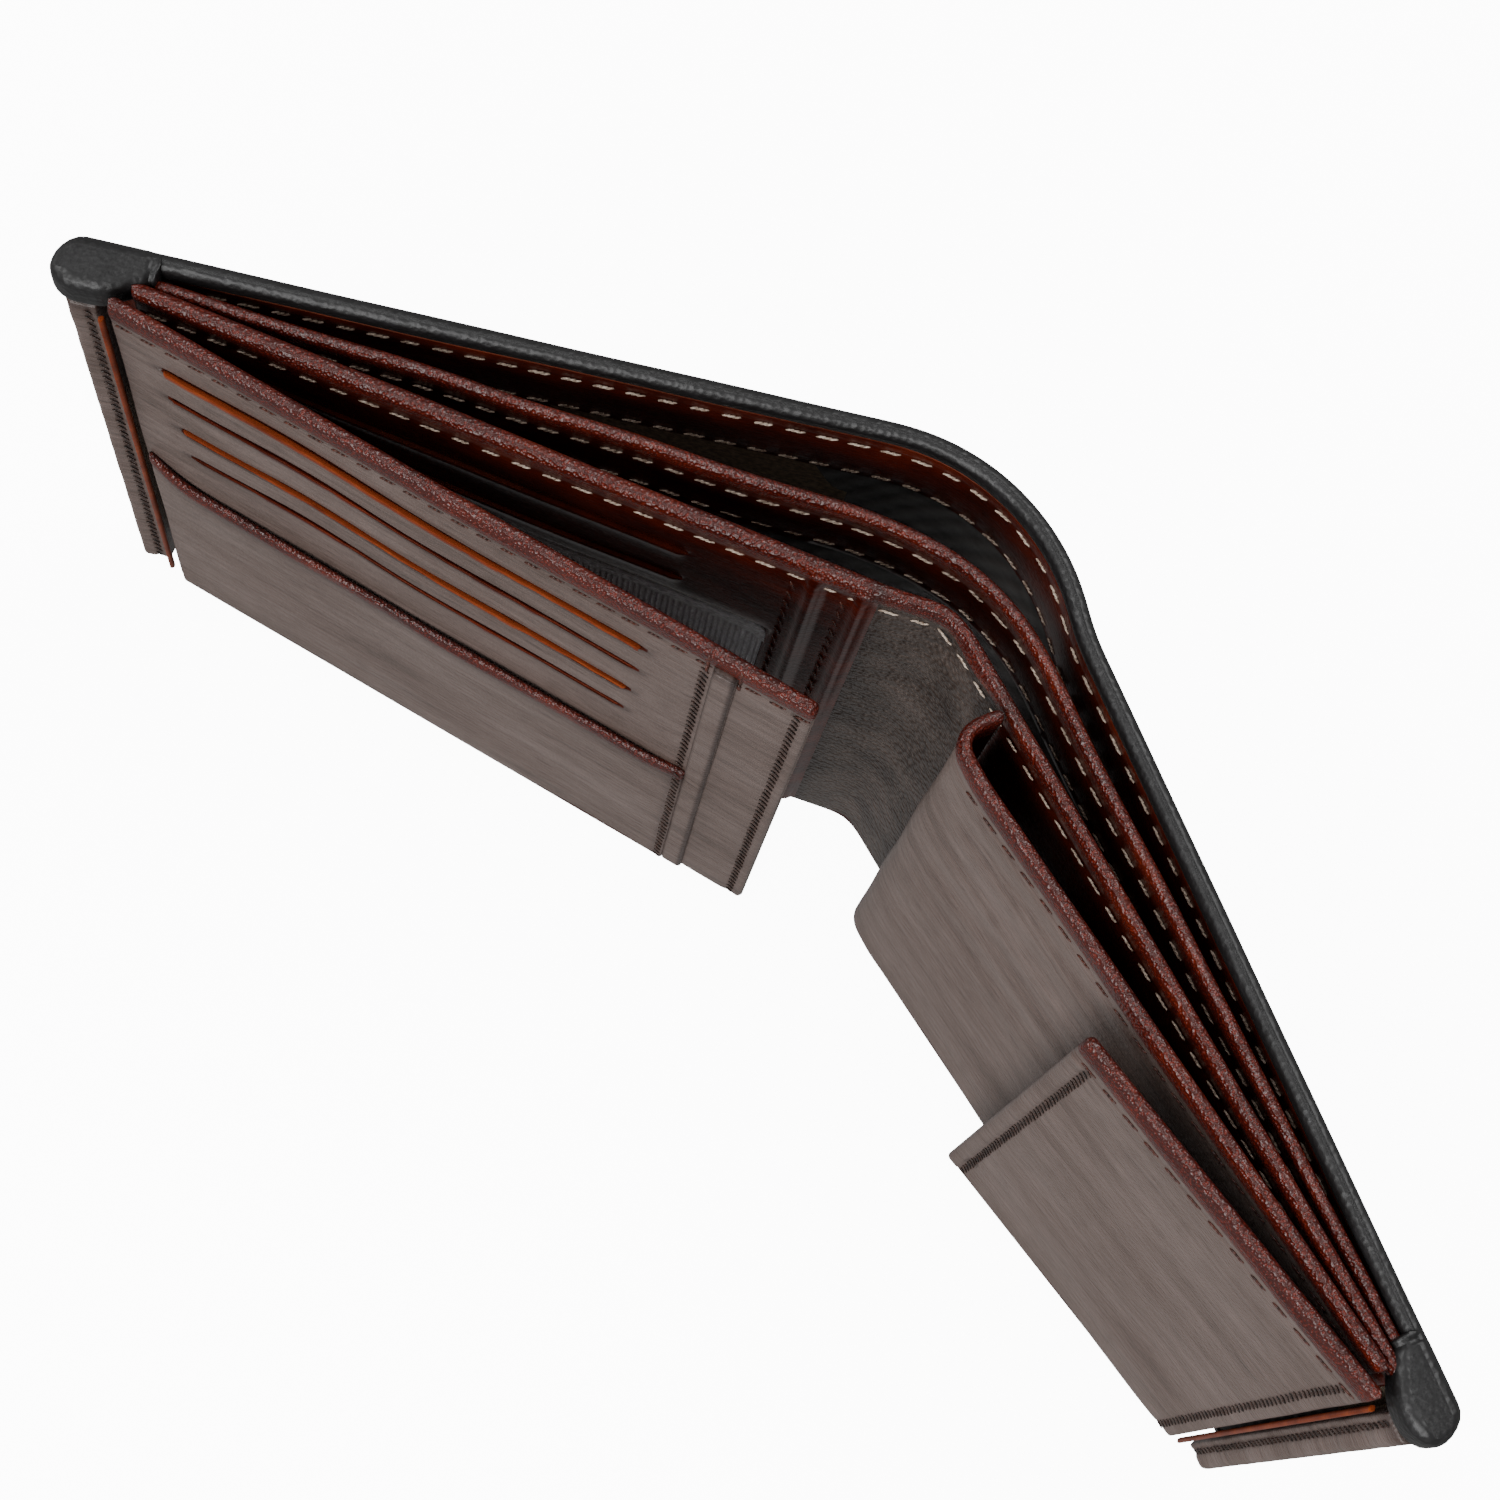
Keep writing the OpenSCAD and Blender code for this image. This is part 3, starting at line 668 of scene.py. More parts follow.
def stitch_row(name, lines, material, pitch=3.6, length=2.7, thickness=0.5, slant=0.0, seed=4):
    """Sews along lines: each is a list of (point, outward direction) in millimetres. Gives one mesh."""
    verts, edges, outs = [], [], []
    for line in lines:
        first = len(verts)
        for i, (point, out) in enumerate(line):
            verts.append([c * MM for c in point])
            outs.extend(out)
            if i:
                edges.append((first + i - 1, first + i))
    mesh = bpy.data.meshes.new(name)
    mesh.from_pydata(verts, edges, [])
    mesh.attributes.new("out", "FLOAT_VECTOR", "POINT").data.foreach_set("vector", outs)
    guide = bpy.data.objects.new(name + "_guide", mesh)
    bpy.context.scene.collection.objects.link(guide)
    sewing = guide.modifiers.new("sewing", "NODES")
    sewing.node_group = SEWING
    wanted = {
        "Pitch": pitch * MM,
        "Length": length * MM,
        "Thickness": thickness * MM,
        "Slant": slant,
        "Seed": seed,
        "Thread": material,
    }
    for item in SEWING.interface.items_tree:
        if item.name in wanted and item.in_out == "INPUT":
            sewing[item.identifier] = wanted[item.name]
    bpy.context.view_layer.update()
    seen = guide.evaluated_get(bpy.context.evaluated_depsgraph_get())
    made = bpy.data.meshes.new_from_object(seen)
    made.name = name
    made.materials.clear()
    made.materials.append(material)
    made.polygons.foreach_set("material_index", [0] * len(made.polygons))
    guide.modifiers.remove(sewing)
    bpy.data.objects.remove(guide)
    made.shade_smooth()
    piece = bpy.data.objects.new(name, made)
    bpy.context.scene.collection.objects.link(piece)
    return slot_of(piece)


def sewing_line(run, spots, w, waves):
    """A line through (distance along, height) spots, w out from a run. waves is the (size, seed,
    depth) of the unevenness of the face that it is sewn into."""
    line = []
    for a, z in spots:
        out_by = w + (swell(a, z, *waves) if waves else 0.0)
        here = run.place(a, out_by, z)
        line.append((here, list(run.place(a, out_by + 1, z) - here)))
    return line


def line_along(run, a0, a1, w, z, count=60, waves=None):
    """A sewing line on the reader's side of a run, at one height."""
    return sewing_line(run, [(a, z) for a in np.linspace(a0, a1, count)], w, waves)


def line_up(run, a, w, z0, z1, count=40, waves=None):
    """A sewing line that runs up or down a piece."""
    return sewing_line(run, [(a, z) for z in np.linspace(z0, z1, count)], w, waves)


# ---------------------------------------------------------------- cover


def softly(levels, a, seed, depth, size=24.0):
    """Adds the leather's soft unevenness to the levels of one face."""
    return [(z, dw + swell(a, z, size, seed, depth), m) for z, dw, m in levels]


def upright(z0, z1, count, dw, material):
    return [(z, dw, material) for z in np.linspace(z0, z1, count)]


def levels(material, *places):
    return [(z, dw, material) for z, dw in places]


def cover_section(a):
    inside = [(0.5, 0.0, BLACK), (1.9, 0.0, BLACK), (2.1, -0.35, TWILL)]
    inside += upright(6, 74.5, 10, -0.35, TWILL)
    inside += [(76.0, -0.35, TWILL), (76.3, 0.0, BROWN), (77.0, -0.06, BROWN), (77.6, 0.0, BROWN)]
    inside += levels(BROWN, (81.0, 0.04), (84.4, 0.0), (85.0, -0.1), (85.6, 0.0))
    inside += [(86.9, -0.05, BROWN), (87.1, -0.3, BROWN), (87.35, 0.05, BLACK), (88.2, 0.2, BLACK)]
    outside = upright(0.8, 86, 14, 0.0, BLACK) + levels(BLACK, (87.6, 0.03), (88.6, 0.08))
    inside = softly(inside, a, 1, 0.2)
    outside = softly(outside, a, 2, 0.2)
    top = HEIGHT + 0.25 * drift(a, 0.04, 5.0)
    return wall(0, top, 0, 2, inside, outside, (0.22, 1.25, BLACK), steps=9)


MID_COVER = cover_run.nearest(MID_SPINE)
COVER_END = cover_run.length


def metres(point, z=45.0):
    return (point[0] * MM, point[1] * MM, z * MM)


def bend_with(piece, run, a_start, a_end, to_spine):
    """Bakes a piece's placement into its mesh. It does not bend the piece, and the places it works out at
    a_start and a_end go unused.
    """
    start, end = metres(run.place(a_start, 0, 0)[:2]), metres(run.place(a_end, 0, 0)[:2])
    if to_spine:
        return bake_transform(piece)
    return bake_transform(piece)


def two_halves(name, run, mid, section, left_body, right_body, bends, rounded, corner, step=1.0, edge=None):
    """Cuts one piece that crosses the spine as two meshes that meet there."""
    made = []
    for side, a0, a1 in (("left", 0.0, mid), ("right", mid, run.length)):
        round_plan = (rounded, 0) if side == "left" else (0, rounded)
        round_front = (corner, 0) if side == "left" else (0, corner)
        at = stations(a0, a1, step, round_plan)
        made.append(cut(f"{name}_{side}", run, at, section, round_plan, round_front, edge))
    bend_with(made[0], run, mid - bends[0], mid, True)
    bend_with(made[1], run, mid, mid + bends[1], False)
    return made


def across(name, run, mid, w, z, bodies, bends, a_from, a_to, material, **sewing):
    """A stitch row along a piece that crosses the spine, in two meshes as the piece is."""
    for side, a0, a1 in (("left", a_from, mid), ("right", mid + sewing.get("pitch", 3.6), a_to)):
        row = stitch_row(f"{name}_{side}", [line_along(run, a0, a1, w, z, 160)], material, **sewing)
        if side == "left":
            bend_with(row, run, mid - bends[0], mid, True)
        else:
            bend_with(row, run, mid, mid + bends[1], False)


cover_bends = (24.0, 22.0)
cover = two_halves(
    "cover_shell", cover_run, MID_COVER, cover_section, "left_cover", "right_cover", cover_bends, 1.0, 3.0
)
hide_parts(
    "cover_left", "cover_spine", "lining_left", "lining_spine", "facing_left", "facing_spine"
)
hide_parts("cover_right", "lining_right", "facing_right")
halves = ("left_cover", "right_cover")
for z, seed in ((85.0, 4), (77.1, 9)):
    across(
        f"cover_stitches_{int(z)}", cover_run, MID_COVER, 2.04, z, halves, cover_bends, 9, COVER_END - 9,
        LIGHT_THREAD, pitch=4.0, length=3.0, thickness=0.36, seed=seed,
    )
for side in ("left", "right"):
    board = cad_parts[f"board_{side}"]
    board.data.materials.clear()
    board.data.materials.append(BOARD)


def rounded_bar(w0, w1, z0, z1, radius, material, count=5):
    """A cross section like a bar with round corners."""
    points = []
    for cw, cz, start in (
        (w1 - radius, z1 - radius, 0),
        (w0 + radius, z1 - radius, 90),
        (w0 + radius, z0 + radius, 180),
        (w1 - radius, z0 + radius, 270),
    ):
        for t in np.radians(np.linspace(start, start + 90, count)):
            points.append((cw + radius * math.cos(t), cz + radius * math.sin(t)))
    return points, [material] * len(points)


def cap(name, side, body, node, bulge):
    """The black leather turned over the stack at a top corner, with a pinched line where it ends."""
    end = 0.0 if side == "left" else COVER_END
    sign = 1 if side == "left" else -1
    depth = 6.9 if side == "left" else 6.6

    def section(a):
        x = abs(a - end) if (a - end) * sign > 0 else -abs(a - end)
        front = depth - (depth - 4.0) * smooth_step((x - 3.5) / 8.0)
        front += swell(a, 88, 3.5, 11, 0.3)
        back = -0.3 + 0.9 * smooth_step((1.0 - x) / 4)
        pinch = 0.3 * hump(x, 9.8, 0.4)
        return rounded_bar(
            back + pinch, front - pinch, 84.3 + 0.8 * smooth_step(x / 8), HEIGHT + 0.4 - pinch, 1.7, BLACK, 7
        )

    near, far = end - sign * bulge, end + sign * 10.8
    rounded = (3.6, 0.5) if side == "left" else (0.5, 3.6)
    corner = (2.4, 0) if side == "left" else (0, 2.4)
    at = stations(min(near, far), max(near, far), 0.3, rounded)
    piece = cut(name, cover_run, at, section, rounded, corner)
    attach(piece, body)
    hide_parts(node)
    return piece


cap("corner_cap_wrap_left", "left", "left_cover", "corner_cap_left", 2.5)
cap("corner_cap_wrap_right", "right", "right_cover", "corner_cap_right", 1.9)

# ---------------------------------------------------------------- divider

MID_DIVIDER = divider_run.nearest((3.0, -11.0))
divider_bends = (22.0, 20.0)
DIVIDER_TOP = 89.0


def twill_section(a):
    front = upright(3, 76, 9, 0.0, TWILL)
    front = softly(front, a, 21, 0.3, 18)
    back = [(z, -dw, m) for z, dw, m in front]
    return wall(1.2, 78, -0.3, 0.3, front, back, (0.0, 0.3, TWILL), foot=0.3, steps=3)


def divider_edge_section(a):
    front = levels(BROWN, (76.0, 0.0), (77.0, 0.0), (77.6, -0.06), (78.2, 0.0))
    front += levels(BROWN, (81.0, 0.03), (83.8, 0.0), (84.4, -0.1), (85.0, 0.0))
    front += levels(ROLL, (86.2, 0.05), (87.2, 0.2))
    front = softly(front, a, 23, 0.3, 18)
    back = [(z, -dw + (0.2 if m is ROLL else 0), m) for z, dw, m in front]
    top = DIVIDER_TOP + 0.35 * drift(a, 0.035, 9.0)
    return wall(75.6, top, -0.5, 0.5, front, back, (0.3, 0.95, ROLL), foot=0.4, steps=7)


divider_bodies = ("left_divider", "right_divider")
divider_cloth = two_halves(
    "divider_twill", divider_run, MID_DIVIDER, twill_section, *divider_bodies, divider_bends, 0.3, 0.0, 2.0
)
divider_edge = two_halves(
    "divider_edge", divider_run, MID_DIVIDER, divider_edge_section, *divider_bodies, divider_bends, 0.8, 1.5
)
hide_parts("divider_left", "divider_centre")
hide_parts("divider_right")
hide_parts("divider_facing_left", "divider_facing_centre")
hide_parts("divider_facing_right")
for z, seed in ((84.4, 5), (77.6, 8)):
    across(
        f"divider_stitches_{int(z)}", divider_run, MID_DIVIDER, 0.56, z, divider_bodies, divider_bends,
        2, divider_run.length - 2, LIGHT_THREAD, pitch=4.0, length=3.0, thickness=0.34, seed=seed,
    )

# ---------------------------------------------------------------- inner panel

MID_INNER = inner_run.nearest((3.5, -18.0))
GUSSET_FROM, GUSSET_TO = 97.6, inner_run.nearest(right_inner_ply(COIN_ROOT))
LEFT_FOLD_END, RIGHT_FOLD_END = LEFT_INNER_END, inner_run.nearest(right_inner_ply(RIGHT_INNER_END))
inner_bends = (MID_INNER - LEFT_FOLD_END, RIGHT_FOLD_END - MID_INNER)
SLIT_LEVELS = (-2.6, -1.2, -0.55, -0.3, -0.1, 0.0, 0.65, 0.8, 1.1, 2.4)


def slit_profile(z, opening, depth, step, material, inside):
    """The levels of a face across a slit in it: the layer below stands out by step, its cut edge
    faces up, and the layer above tucks in behind it."""
    shape = (0.0, 0.6 * step, step, step, 0.75 * step, -depth, -depth, -0.3 * step, -0.22 * step, 0.0)
    # where the slit is open its gap takes the inside material; the card flap gives it SHADE, painted shade
    stuff = (material,) * 4 + ((inside,) * 3 if opening > 0.02 else (material,) * 3) + (material,) * 3
    return [(z + up, dw * opening, m) for up, dw, m in zip(SLIT_LEVELS, shape, stuff)]


def inner_section(a):
    """Brown card side on the left, soft taupe gusset over the spine, brown again behind the coins."""
    face = BROWN if a < GUSSET_FROM or a > GUSSET_TO else PEBBLED
    ridges = 0.75 * math.exp(-(((a - 90.0) / 0.95) ** 4)) + 0.75 * math.exp(-(((a - 96.2) / 0.95) ** 4))
    open_slit = smooth_step((a - 4) / 1.5) * smooth_step((74 - a) / 1.5)
    window = smooth_step((a - 24) / 1) * smooth_step((86.5 - a) / 1)
    hem = 64.5 + 0.3 * math.sin(a / 9)
    front = [(z, -1.0 * window, face) for z in (1.5, 12, 24, 36, 46, 54, 59, 62)]
    front += levels(face, (hem - 0.5, -1.0 * window), (hem, -0.1 * window), (hem + 0.5, 0.0))
    front += slit_profile(69.5 + 0.5 * math.sin(a / 11), open_slit, 0.5, 0.35, face, face)
    front += [(73.5, 0.0, face)]
    front += slit_profile(78.0 + 0.4 * math.sin(a / 11 + 1), open_slit, 0.5, 0.35, face, face)
    front += levels(face, (81.5, 0.0), (84.2, 0.02), (84.9, -0.13), (85.6, 0.02))
    front += levels(ROLL, (86.6, 0.05), (87.5, 0.25), (88.2, 0.3))
    pucker = 1.0 if GUSSET_FROM < a < GUSSET_TO else 0.0
    low = 1.2 * pucker * smooth_step((a - GUSSET_FROM) / 8) * smooth_step((GUSSET_TO - a) / 8)
    front = [
        (z, dw + (ridges if z < 86 else 0.4 * ridges) + low * swell(a, z, 7, 31, 0.5), m)
        for z, dw, m in front
    ]
    front = softly(front, a, 32, 0.3)
    back = softly(upright(1.5, 84.5, 10, 0.0, SHADE) + levels(ROLL, (86.6, 0.1), (88.0, 0.25)), a, 33, 0.1)
    half = 0.8 - 0.2 * smooth_step((a - 92) / 12)
    top = HEIGHT - 0.3 + 0.3 * drift(a, 0.04, 2.0)
    foot = 1.0 - 0.8 * low / 1.2
    return wall(foot, top, -half, half, front, back, (0.28, 1.15, ROLL), steps=8)


def inner_painted_shade(a, z):
    # painted shade in the crease under the rolled top, in the fold into the gusset and behind the coin pocket
    near_fold = hump(a, GUSSET_FROM, 1.2)
    near_coins = hump(a, GUSSET_TO, 3.0)
    return 0.7 * hump(z, 86.0, 0.5) + 0.6 * near_fold + 0.5 * near_coins


inner = two_halves(
    "inner_panel", inner_run, MID_INNER, inner_section, "left_inner", "right_inner", inner_bends, 0.8, 0.0,
    0.55, inner_painted_shade,
)
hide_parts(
    "inner_card_panel", "inner_card_tabs", "inner_backing", "window_frame", "fold_strips",
    "inner_roll_left", "centre_gusset", "inner_roll_centre",
)
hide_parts("inner_right_panel", "inner_roll_right")
across(
    "inner_stitches", inner_run, MID_INNER, 0.78, 84.9, ("left_inner", "right_inner"), inner_bends, 3,
    inner_run.length - 3, LIGHT_THREAD, pitch=3.9, length=2.9, thickness=0.32, seed=12,
)
seam_rows = [line_up(inner_run, a, w, 82, 3, 60) for a, w in ((87.4, 0.85), (94.0, 0.85))]
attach(stitch_row("inner_seam_stitches", seam_rows, RED_THREAD, 3.2, 2.2, 0.42, 0.25, 3), "left_inner")


def mesh_section(a):
    """Ribs 0.8 mm apart, woven upright, under a doubled hem."""
    rib = 0.11 * math.cos(2 * math.pi * a / 0.8)
    top = 63.6 - 5.5 * smooth_step((a - 82.5) / 9) + 0.3 * math.sin(a / 9)
    front = [(z, rib, MESH) for z in (2, 20, 40, 55)]
    front += levels(MESH, (top - 3.4, rib), (top - 3.2, 0.22 + rib * 0.3))
    front += levels(MESH, (top - 2.0, 0.2), (top - 1.8, 0.08), (top - 1.6, 0.2), (top - 0.5, 0.18))
    back = [(z, 0.0, MESH) for z in (2, 30, 55)] + [(top - 0.5, 0.0, MESH)]
    return wall(1, top, -0.22, 0.12, front, back, (0.05, 0.25, MESH), foot=0.15, steps=3)


window = cut("window_ribbon", inner_run, np.arange(25.0, 89.2, 0.1333), mesh_section, (0, 0))
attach(window, "left_inner")
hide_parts("window_mesh")

# ---------------------------------------------------------------- card flap

SLITS = ((79.0, 7.0, 77.5, True), (71.0, 7.2, 77.0, False), (62.6, 8.0, 76.6, True), (54.6, 9.0, 76.0, False))
STRIP_FROM, STRIP_TO = 86.3, 89.6


def slit_bow(a):
    return 0.9 * hump(a, 27, 11) - 0.8 * hump(a, 50, 13)


def pocket_mouth(a):
    return 43.4 + 5.2 * math.exp(-((a / 5.5) ** 2)) + 0.45 * math.sin(a / 13 + 1)


def flap_section(a):
    front = upright(1, 37, 9, 0.0, TAUPE) + levels(TAUPE, (41.0, 0.0), (46.0, 0.0), (50.0, 0.0))
    for i in (3, 2, 1, 0):
        z, a0, a1, wide = SLITS[i]
        opening = float(smooth_step((a - a0) / 2) * smooth_step((a1 - a) / 2))
        # the open gaps of the slits take SHADE: painted shade
        front += slit_profile(z + slit_bow(a), opening, 0.8, 0.42 if wide else 0.2, TAUPE, SHADE)
        if i:
            front += levels(TAUPE, (z + 3.4, 0.0), (z + 5.4, 0.0))
    front += levels(TAUPE, (82.6, 0.03), (84.7, 0.05), (85.4, -0.14), (86.0, 0.02))
    front += levels(ROLL, (86.7, 0.08), (87.5, 0.2), (88.3, 0.22))
    sunk = -0.18 * (hump(a, 85.2, 0.8) + hump(a, 97.8, 0.8))
    front = [(z, dw + (sunk if z < 86 else 0), m) for z, dw, m in front]
    front = softly(front, a, 41, 0.35, 22)
    back = softly(upright(1, 84.5, 10, 0.0, SHADE) + levels(ROLL, (86.6, 0.1), (88.0, 0.15)), a, 42, 0.1)
    top = HEIGHT + 0.3 * drift(a, 0.045, 13.0)
    low = 0.4 + 0.4 * drift(a, 0.05, 19.0)
    return wall(low, top, -2.5, -0.8, front, back, (0.12, 1.3, ROLL), steps=8)


def flap_painted_shade(a, z):
    # painted shade in the crease under the rolled top, along the two sunk seam lines and in the slits, and
    # darker towards the hinge end
    dark = 0.7 * hump(z, 86.3, 0.35) + 0.2 * hump(a, 85.2, 0.6)
    dark += 0.2 * hump(a, 97.8, 0.6) + 0.5 * math.exp(-((a - 0.9) / 1.2))
    for z0, a0, a1, wide in SLITS:
        inside = smooth_step((a - a0 + 2) / 2) * smooth_step((a1 + 2 - a) / 2)
        dark += 0.7 * inside * math.exp(-(((z - z0 - slit_bow(a)) / 0.9) ** 2))
    return dark


flap = cut(
    "flap_panel", flap_run, stations(0.9, FLAP_LEN, 0.55, (0.6, 0.7)), flap_section, (0.6, 0.7), (0, 1.5),
    flap_painted_shade,
)
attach(flap, "card_flap")
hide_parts("flap_card_panel", "flap_backing", "flap_free_panel", "flap_free_edge", "flap_roll")


def tab_section(number):
    z0, a0, a1, wide = SLITS[number]
    # the wide slits show orange tab edges; the narrow slits' tabs take the dark glazed brown instead, as
    # painted shade in those slits
    stand, thick, stuff = (-0.36, 0.85, TAB) if wide else (-0.62, 0.5, BROWN)

    def section(a):
        z = z0 + slit_bow(a)
        w = stand + 0.08 * drift(a, 0.3, number)
        return rounded_bar(w - thick, w, z - 0.9, z + 0.1, 0.24, stuff, 4)

    return section


for number, (z0, a0, a1, wide) in enumerate(SLITS):
    at = stations(a0 + 0.9, a1 - 0.9, 0.9, (0.6, 0.6))
    tab = cut(f"card_tab_{number + 1}", flap_run, at, tab_section(number), (0.6, 0.6))
    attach(tab, "card_flap")
    if not number:
        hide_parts("flap_card_tabs")


def slip_section(a):
    mouth = pocket_mouth(a)
    stand = 0.42 * smooth_step(a / 6) * smooth_step((86 - a) / 6)
    front, back = [], []
    for share in np.linspace(0.03, 0.9, 14):
        z = share * mouth
        front.append((z, stand * share**4, TAUPE))
        back.append((z, -stand * share**4, SHADE))
    front += levels(ROLL, (mouth - 2.9, stand * 0.9 - 0.1), (mouth - 2.3, stand + 0.1))
    front += [(mouth - 1.2, stand + 0.18, ROLL)]
    back += [(mouth - 2.3, -stand, SHADE), (mouth - 1.2, -stand + 0.05, ROLL)]
    front = [(z, dw + swell(a, z, 20, 44, 0.3), m) for z, dw, m in front]
    low = 0.3 + 0.35 * drift(a, 0.05, 19.0)
    points, stuff = wall(low, mouth, -0.82, 0.0, front, back, (0.12, 0.6, ROLL), steps=7)
    top = len(front)
    return [(w + stand, z) if top <= i < top + 9 else (w, z) for i, (w, z) in enumerate(points)], stuff


def slip_painted_shade(a, z):
    mouth = pocket_mouth(a)
    # painted shade in the crease under the rolled mouth and at the end beside the seam fold, and darker at
    # the left end
    dark = 0.8 * math.exp(-(((z - mouth + 3.3) / 0.9) ** 2)) + 0.6 * hump(a, 1, 1.0)
    return dark + 0.5 * hump(a, 85.3, 0.8)


slip = cut(
    "slip_pocket", flap_run, stations(2.0, 86.4, 0.7, (0.5, 0.5)), slip_section, (0.5, 0.5), (0, 0),
    slip_painted_shade,
)
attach(slip, "card_flap")
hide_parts("flap_slip_pocket")


def strip_section(a):
    tuck = 0.35 * hump(a, STRIP_FROM, 1.5)
    front = [(z, 0.0 - tuck * hump(z, 43, 1.2), TAUPE) for z in np.linspace(1.5, 84.5, 40)]
    front += levels(TAUPE, (85.6, -0.15), (86.3, -0.05))
    front = softly(front, a, 45, 0.2, 9)
    back = upright(1.5, 86.3, 4, 0.0, TAUPE)
    return wall(0.6, 87.0, -1.5, 0.1, front, back, (0.0, 0.5, TAUPE), foot=0.4, steps=5)


strip = cut(
    "flap_seam_fold", flap_run, stations(STRIP_FROM, STRIP_TO, 0.25, (0.7, 0.7)), strip_section, (0.7, 0.7),
    # edge values: painted shade along both sides of the fold strip and towards its top
    edge=lambda a, z: 0.85 * math.exp(-(((a - STRIP_TO + 0.25) / 0.35) ** 2))
    + 0.8 * hump(a, STRIP_FROM, 0.4) + 0.5 * smooth_step((z - 84) / 2),
)
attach(strip, "card_flap")
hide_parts("flap_seam_strip")

flap_rows = [line_along(flap_run, 3, 98.5, -0.84, 85.4, 160, (22, 41, 0.35))]
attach(stitch_row("flap_top_stitches", flap_rows, RED_THREAD, 3.4, 2.7, 0.34, 0.1, 6), "card_flap")
flap_rows = [
    line_up(flap_run, 85.2, -0.8, 83.5, 45.0, 80, (22, 41, 0.35)),
    line_up(flap_run, 85.6, 0.08, 43.0, 1.5, 80, (20, 44, 0.3)),
    line_up(flap_run, 97.8, -0.8, 84.5, 2.0, 120, (22, 41, 0.35)),
]
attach(stitch_row("flap_seam_stitches", flap_rows, DARK_THREAD, 1.6, 1.5, 0.3, 0.85, 7), "card_flap")
ties = [line_up(flap_run, a, -0.75, 84.5, 88.4, 12, (22, 41, 0.35)) for a in (85.4, 89.9)]
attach(stitch_row("flap_tie_stitches", ties, RED_THREAD, 1.9, 1.9, 0.5, 0.0, 2), "card_flap")

# ---------------------------------------------------------------- ends


def binding(name, side, body, node, front):
    """The taupe strip sewn over the ends of the plies, its leather cracked across by the needle."""
    end = 0.0 if side == "left" else COVER_END

    def section(a):
        faces = [(z, swell(a, z, 4, 51, 0.3), TAUPE) for z in np.linspace(1.5, 83.2, 60)]
        faces = [
            (z, dw - 0.35 * math.exp(-(((abs(a - end) - 2.2) / 0.5) ** 2)), m) for z, dw, m in faces
        ]
        back = upright(1.5, 83.0, 6, 0.0, SHADE)
        return wall(0.3, 85.2, 2.05, front, faces, back, (0.0, 0.6, TAUPE), steps=5)

    width = 3.8
    a0, a1 = (-0.9, width) if side == "left" else (COVER_END - width, COVER_END + 0.9)
    rounded = (1.2, 0.5) if side == "left" else (0.5, 1.2)
    inner_side = a1 if side == "left" else a0
    piece = cut(
        name, cover_run, stations(a0, a1, 0.25, rounded), section, rounded, (0, 0),
        # edge values: needle cracks with painted shade in the groove of the stitch line, and painted shade
        # towards the top under the cap and where the strip meets the plies
        lambda a, z: 0.8 * math.exp(-(((abs(a - end) - 2.3) / 0.4) ** 2)) * (0.6 + 0.4 * math.sin(z * 3.1))
        + 0.6 * smooth_step((z - 80) / 5) + 0.5 * hump(a, inner_side, 0.4),
    )
    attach(piece, body)
    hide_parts(node)
    rows = [line_up(cover_run, end + (2.2 if side == "left" else -2.2), front + 0.02, 83, 2.5, 80)]
    lean = 0.8 if side == "left" else -0.8
    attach(stitch_row(name + "_stitches", rows, DARK_THREAD, 1.7, 1.5, 0.3, lean, 5), body)


binding("end_binding_strip_left", "left", "left_cover", "end_binding_left", 6.75)
binding("end_binding_strip_right", "right", "right_cover", "end_binding_right", 6.45)


def hinge_bead(name, run, body, node, a0, a1):
    """The skived edge that shows as a thin brown line beside a flap's hinge."""

    def section(a):
        return rounded_bar(-1.0, 0.0, 2.6, 85.6, 0.25, TAB, 3)

    piece = cut(name, run, stations(a0, a1, 0.2, (0.35, 0.35)), section, (0.35, 0.35))
    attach(piece, body)
    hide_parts(node)


flap_hinge_run = Run(ply_points(left_plan, FLAP, FLAP_TILT, -1.5, 3))
coin_hinge_run = Run(ply_points(right_plan, COIN_FLAP, COIN_FLAP_TILT, 3, -1.5))
hinge_bead("flap_hinge_bead", flap_hinge_run, "flap_hinge", "flap_hinge_strip", 1.1, 1.8)
hinge_bead("coin_flap_hinge_bead", coin_hinge_run, "coin_flap_hinge", "coin_flap_hinge_strip", 2.7, 3.4)

# ---------------------------------------------------------------- coin pocket

CORNER = coin_run.nearest(coin_corner)


def coin_section(a):
    crease = smooth_step((a - CORNER) / 4) * smooth_step((CORNER + 52 - a) / 18)
    front = []
    for z in np.linspace(2, 83, 34):
        wrinkle = z * 0.62 + 1.2 * math.sin(a * 0.13) + a * 0.02
        fold = 0.2 * crease * smooth_step((z - 38) / 14) * math.sin(wrinkle)
        front.append((z, fold, TAUPE))
    front += levels(TAUPE, (84.0, 0.02), (84.6, -0.13), (85.4, 0.0))
    front += levels(ROLL, (86.4, 0.05), (87.3, 0.22), (88.2, 0.25))
    front = softly(front, a, 61, 0.35, 20)
    back = softly(upright(2, 84, 10, 0.0, SHADE) + levels(ROLL, (86.4, 0.1), (88.0, 0.25)), a, 62, 0.1)
    top = HEIGHT + 0.35 * drift(a, 0.05, 23.0)
    return wall(0.8, top, -0.6, 0.6, front, back, (0.28, 1.1, ROLL), steps=8)


def coin_painted_shade(a, z):
    # painted shade in the crease under the rolled top and on the curled end that tucks in behind
    return 0.7 * hump(z, 85.9, 0.35) + 0.5 * math.exp(-(a / 2.0))


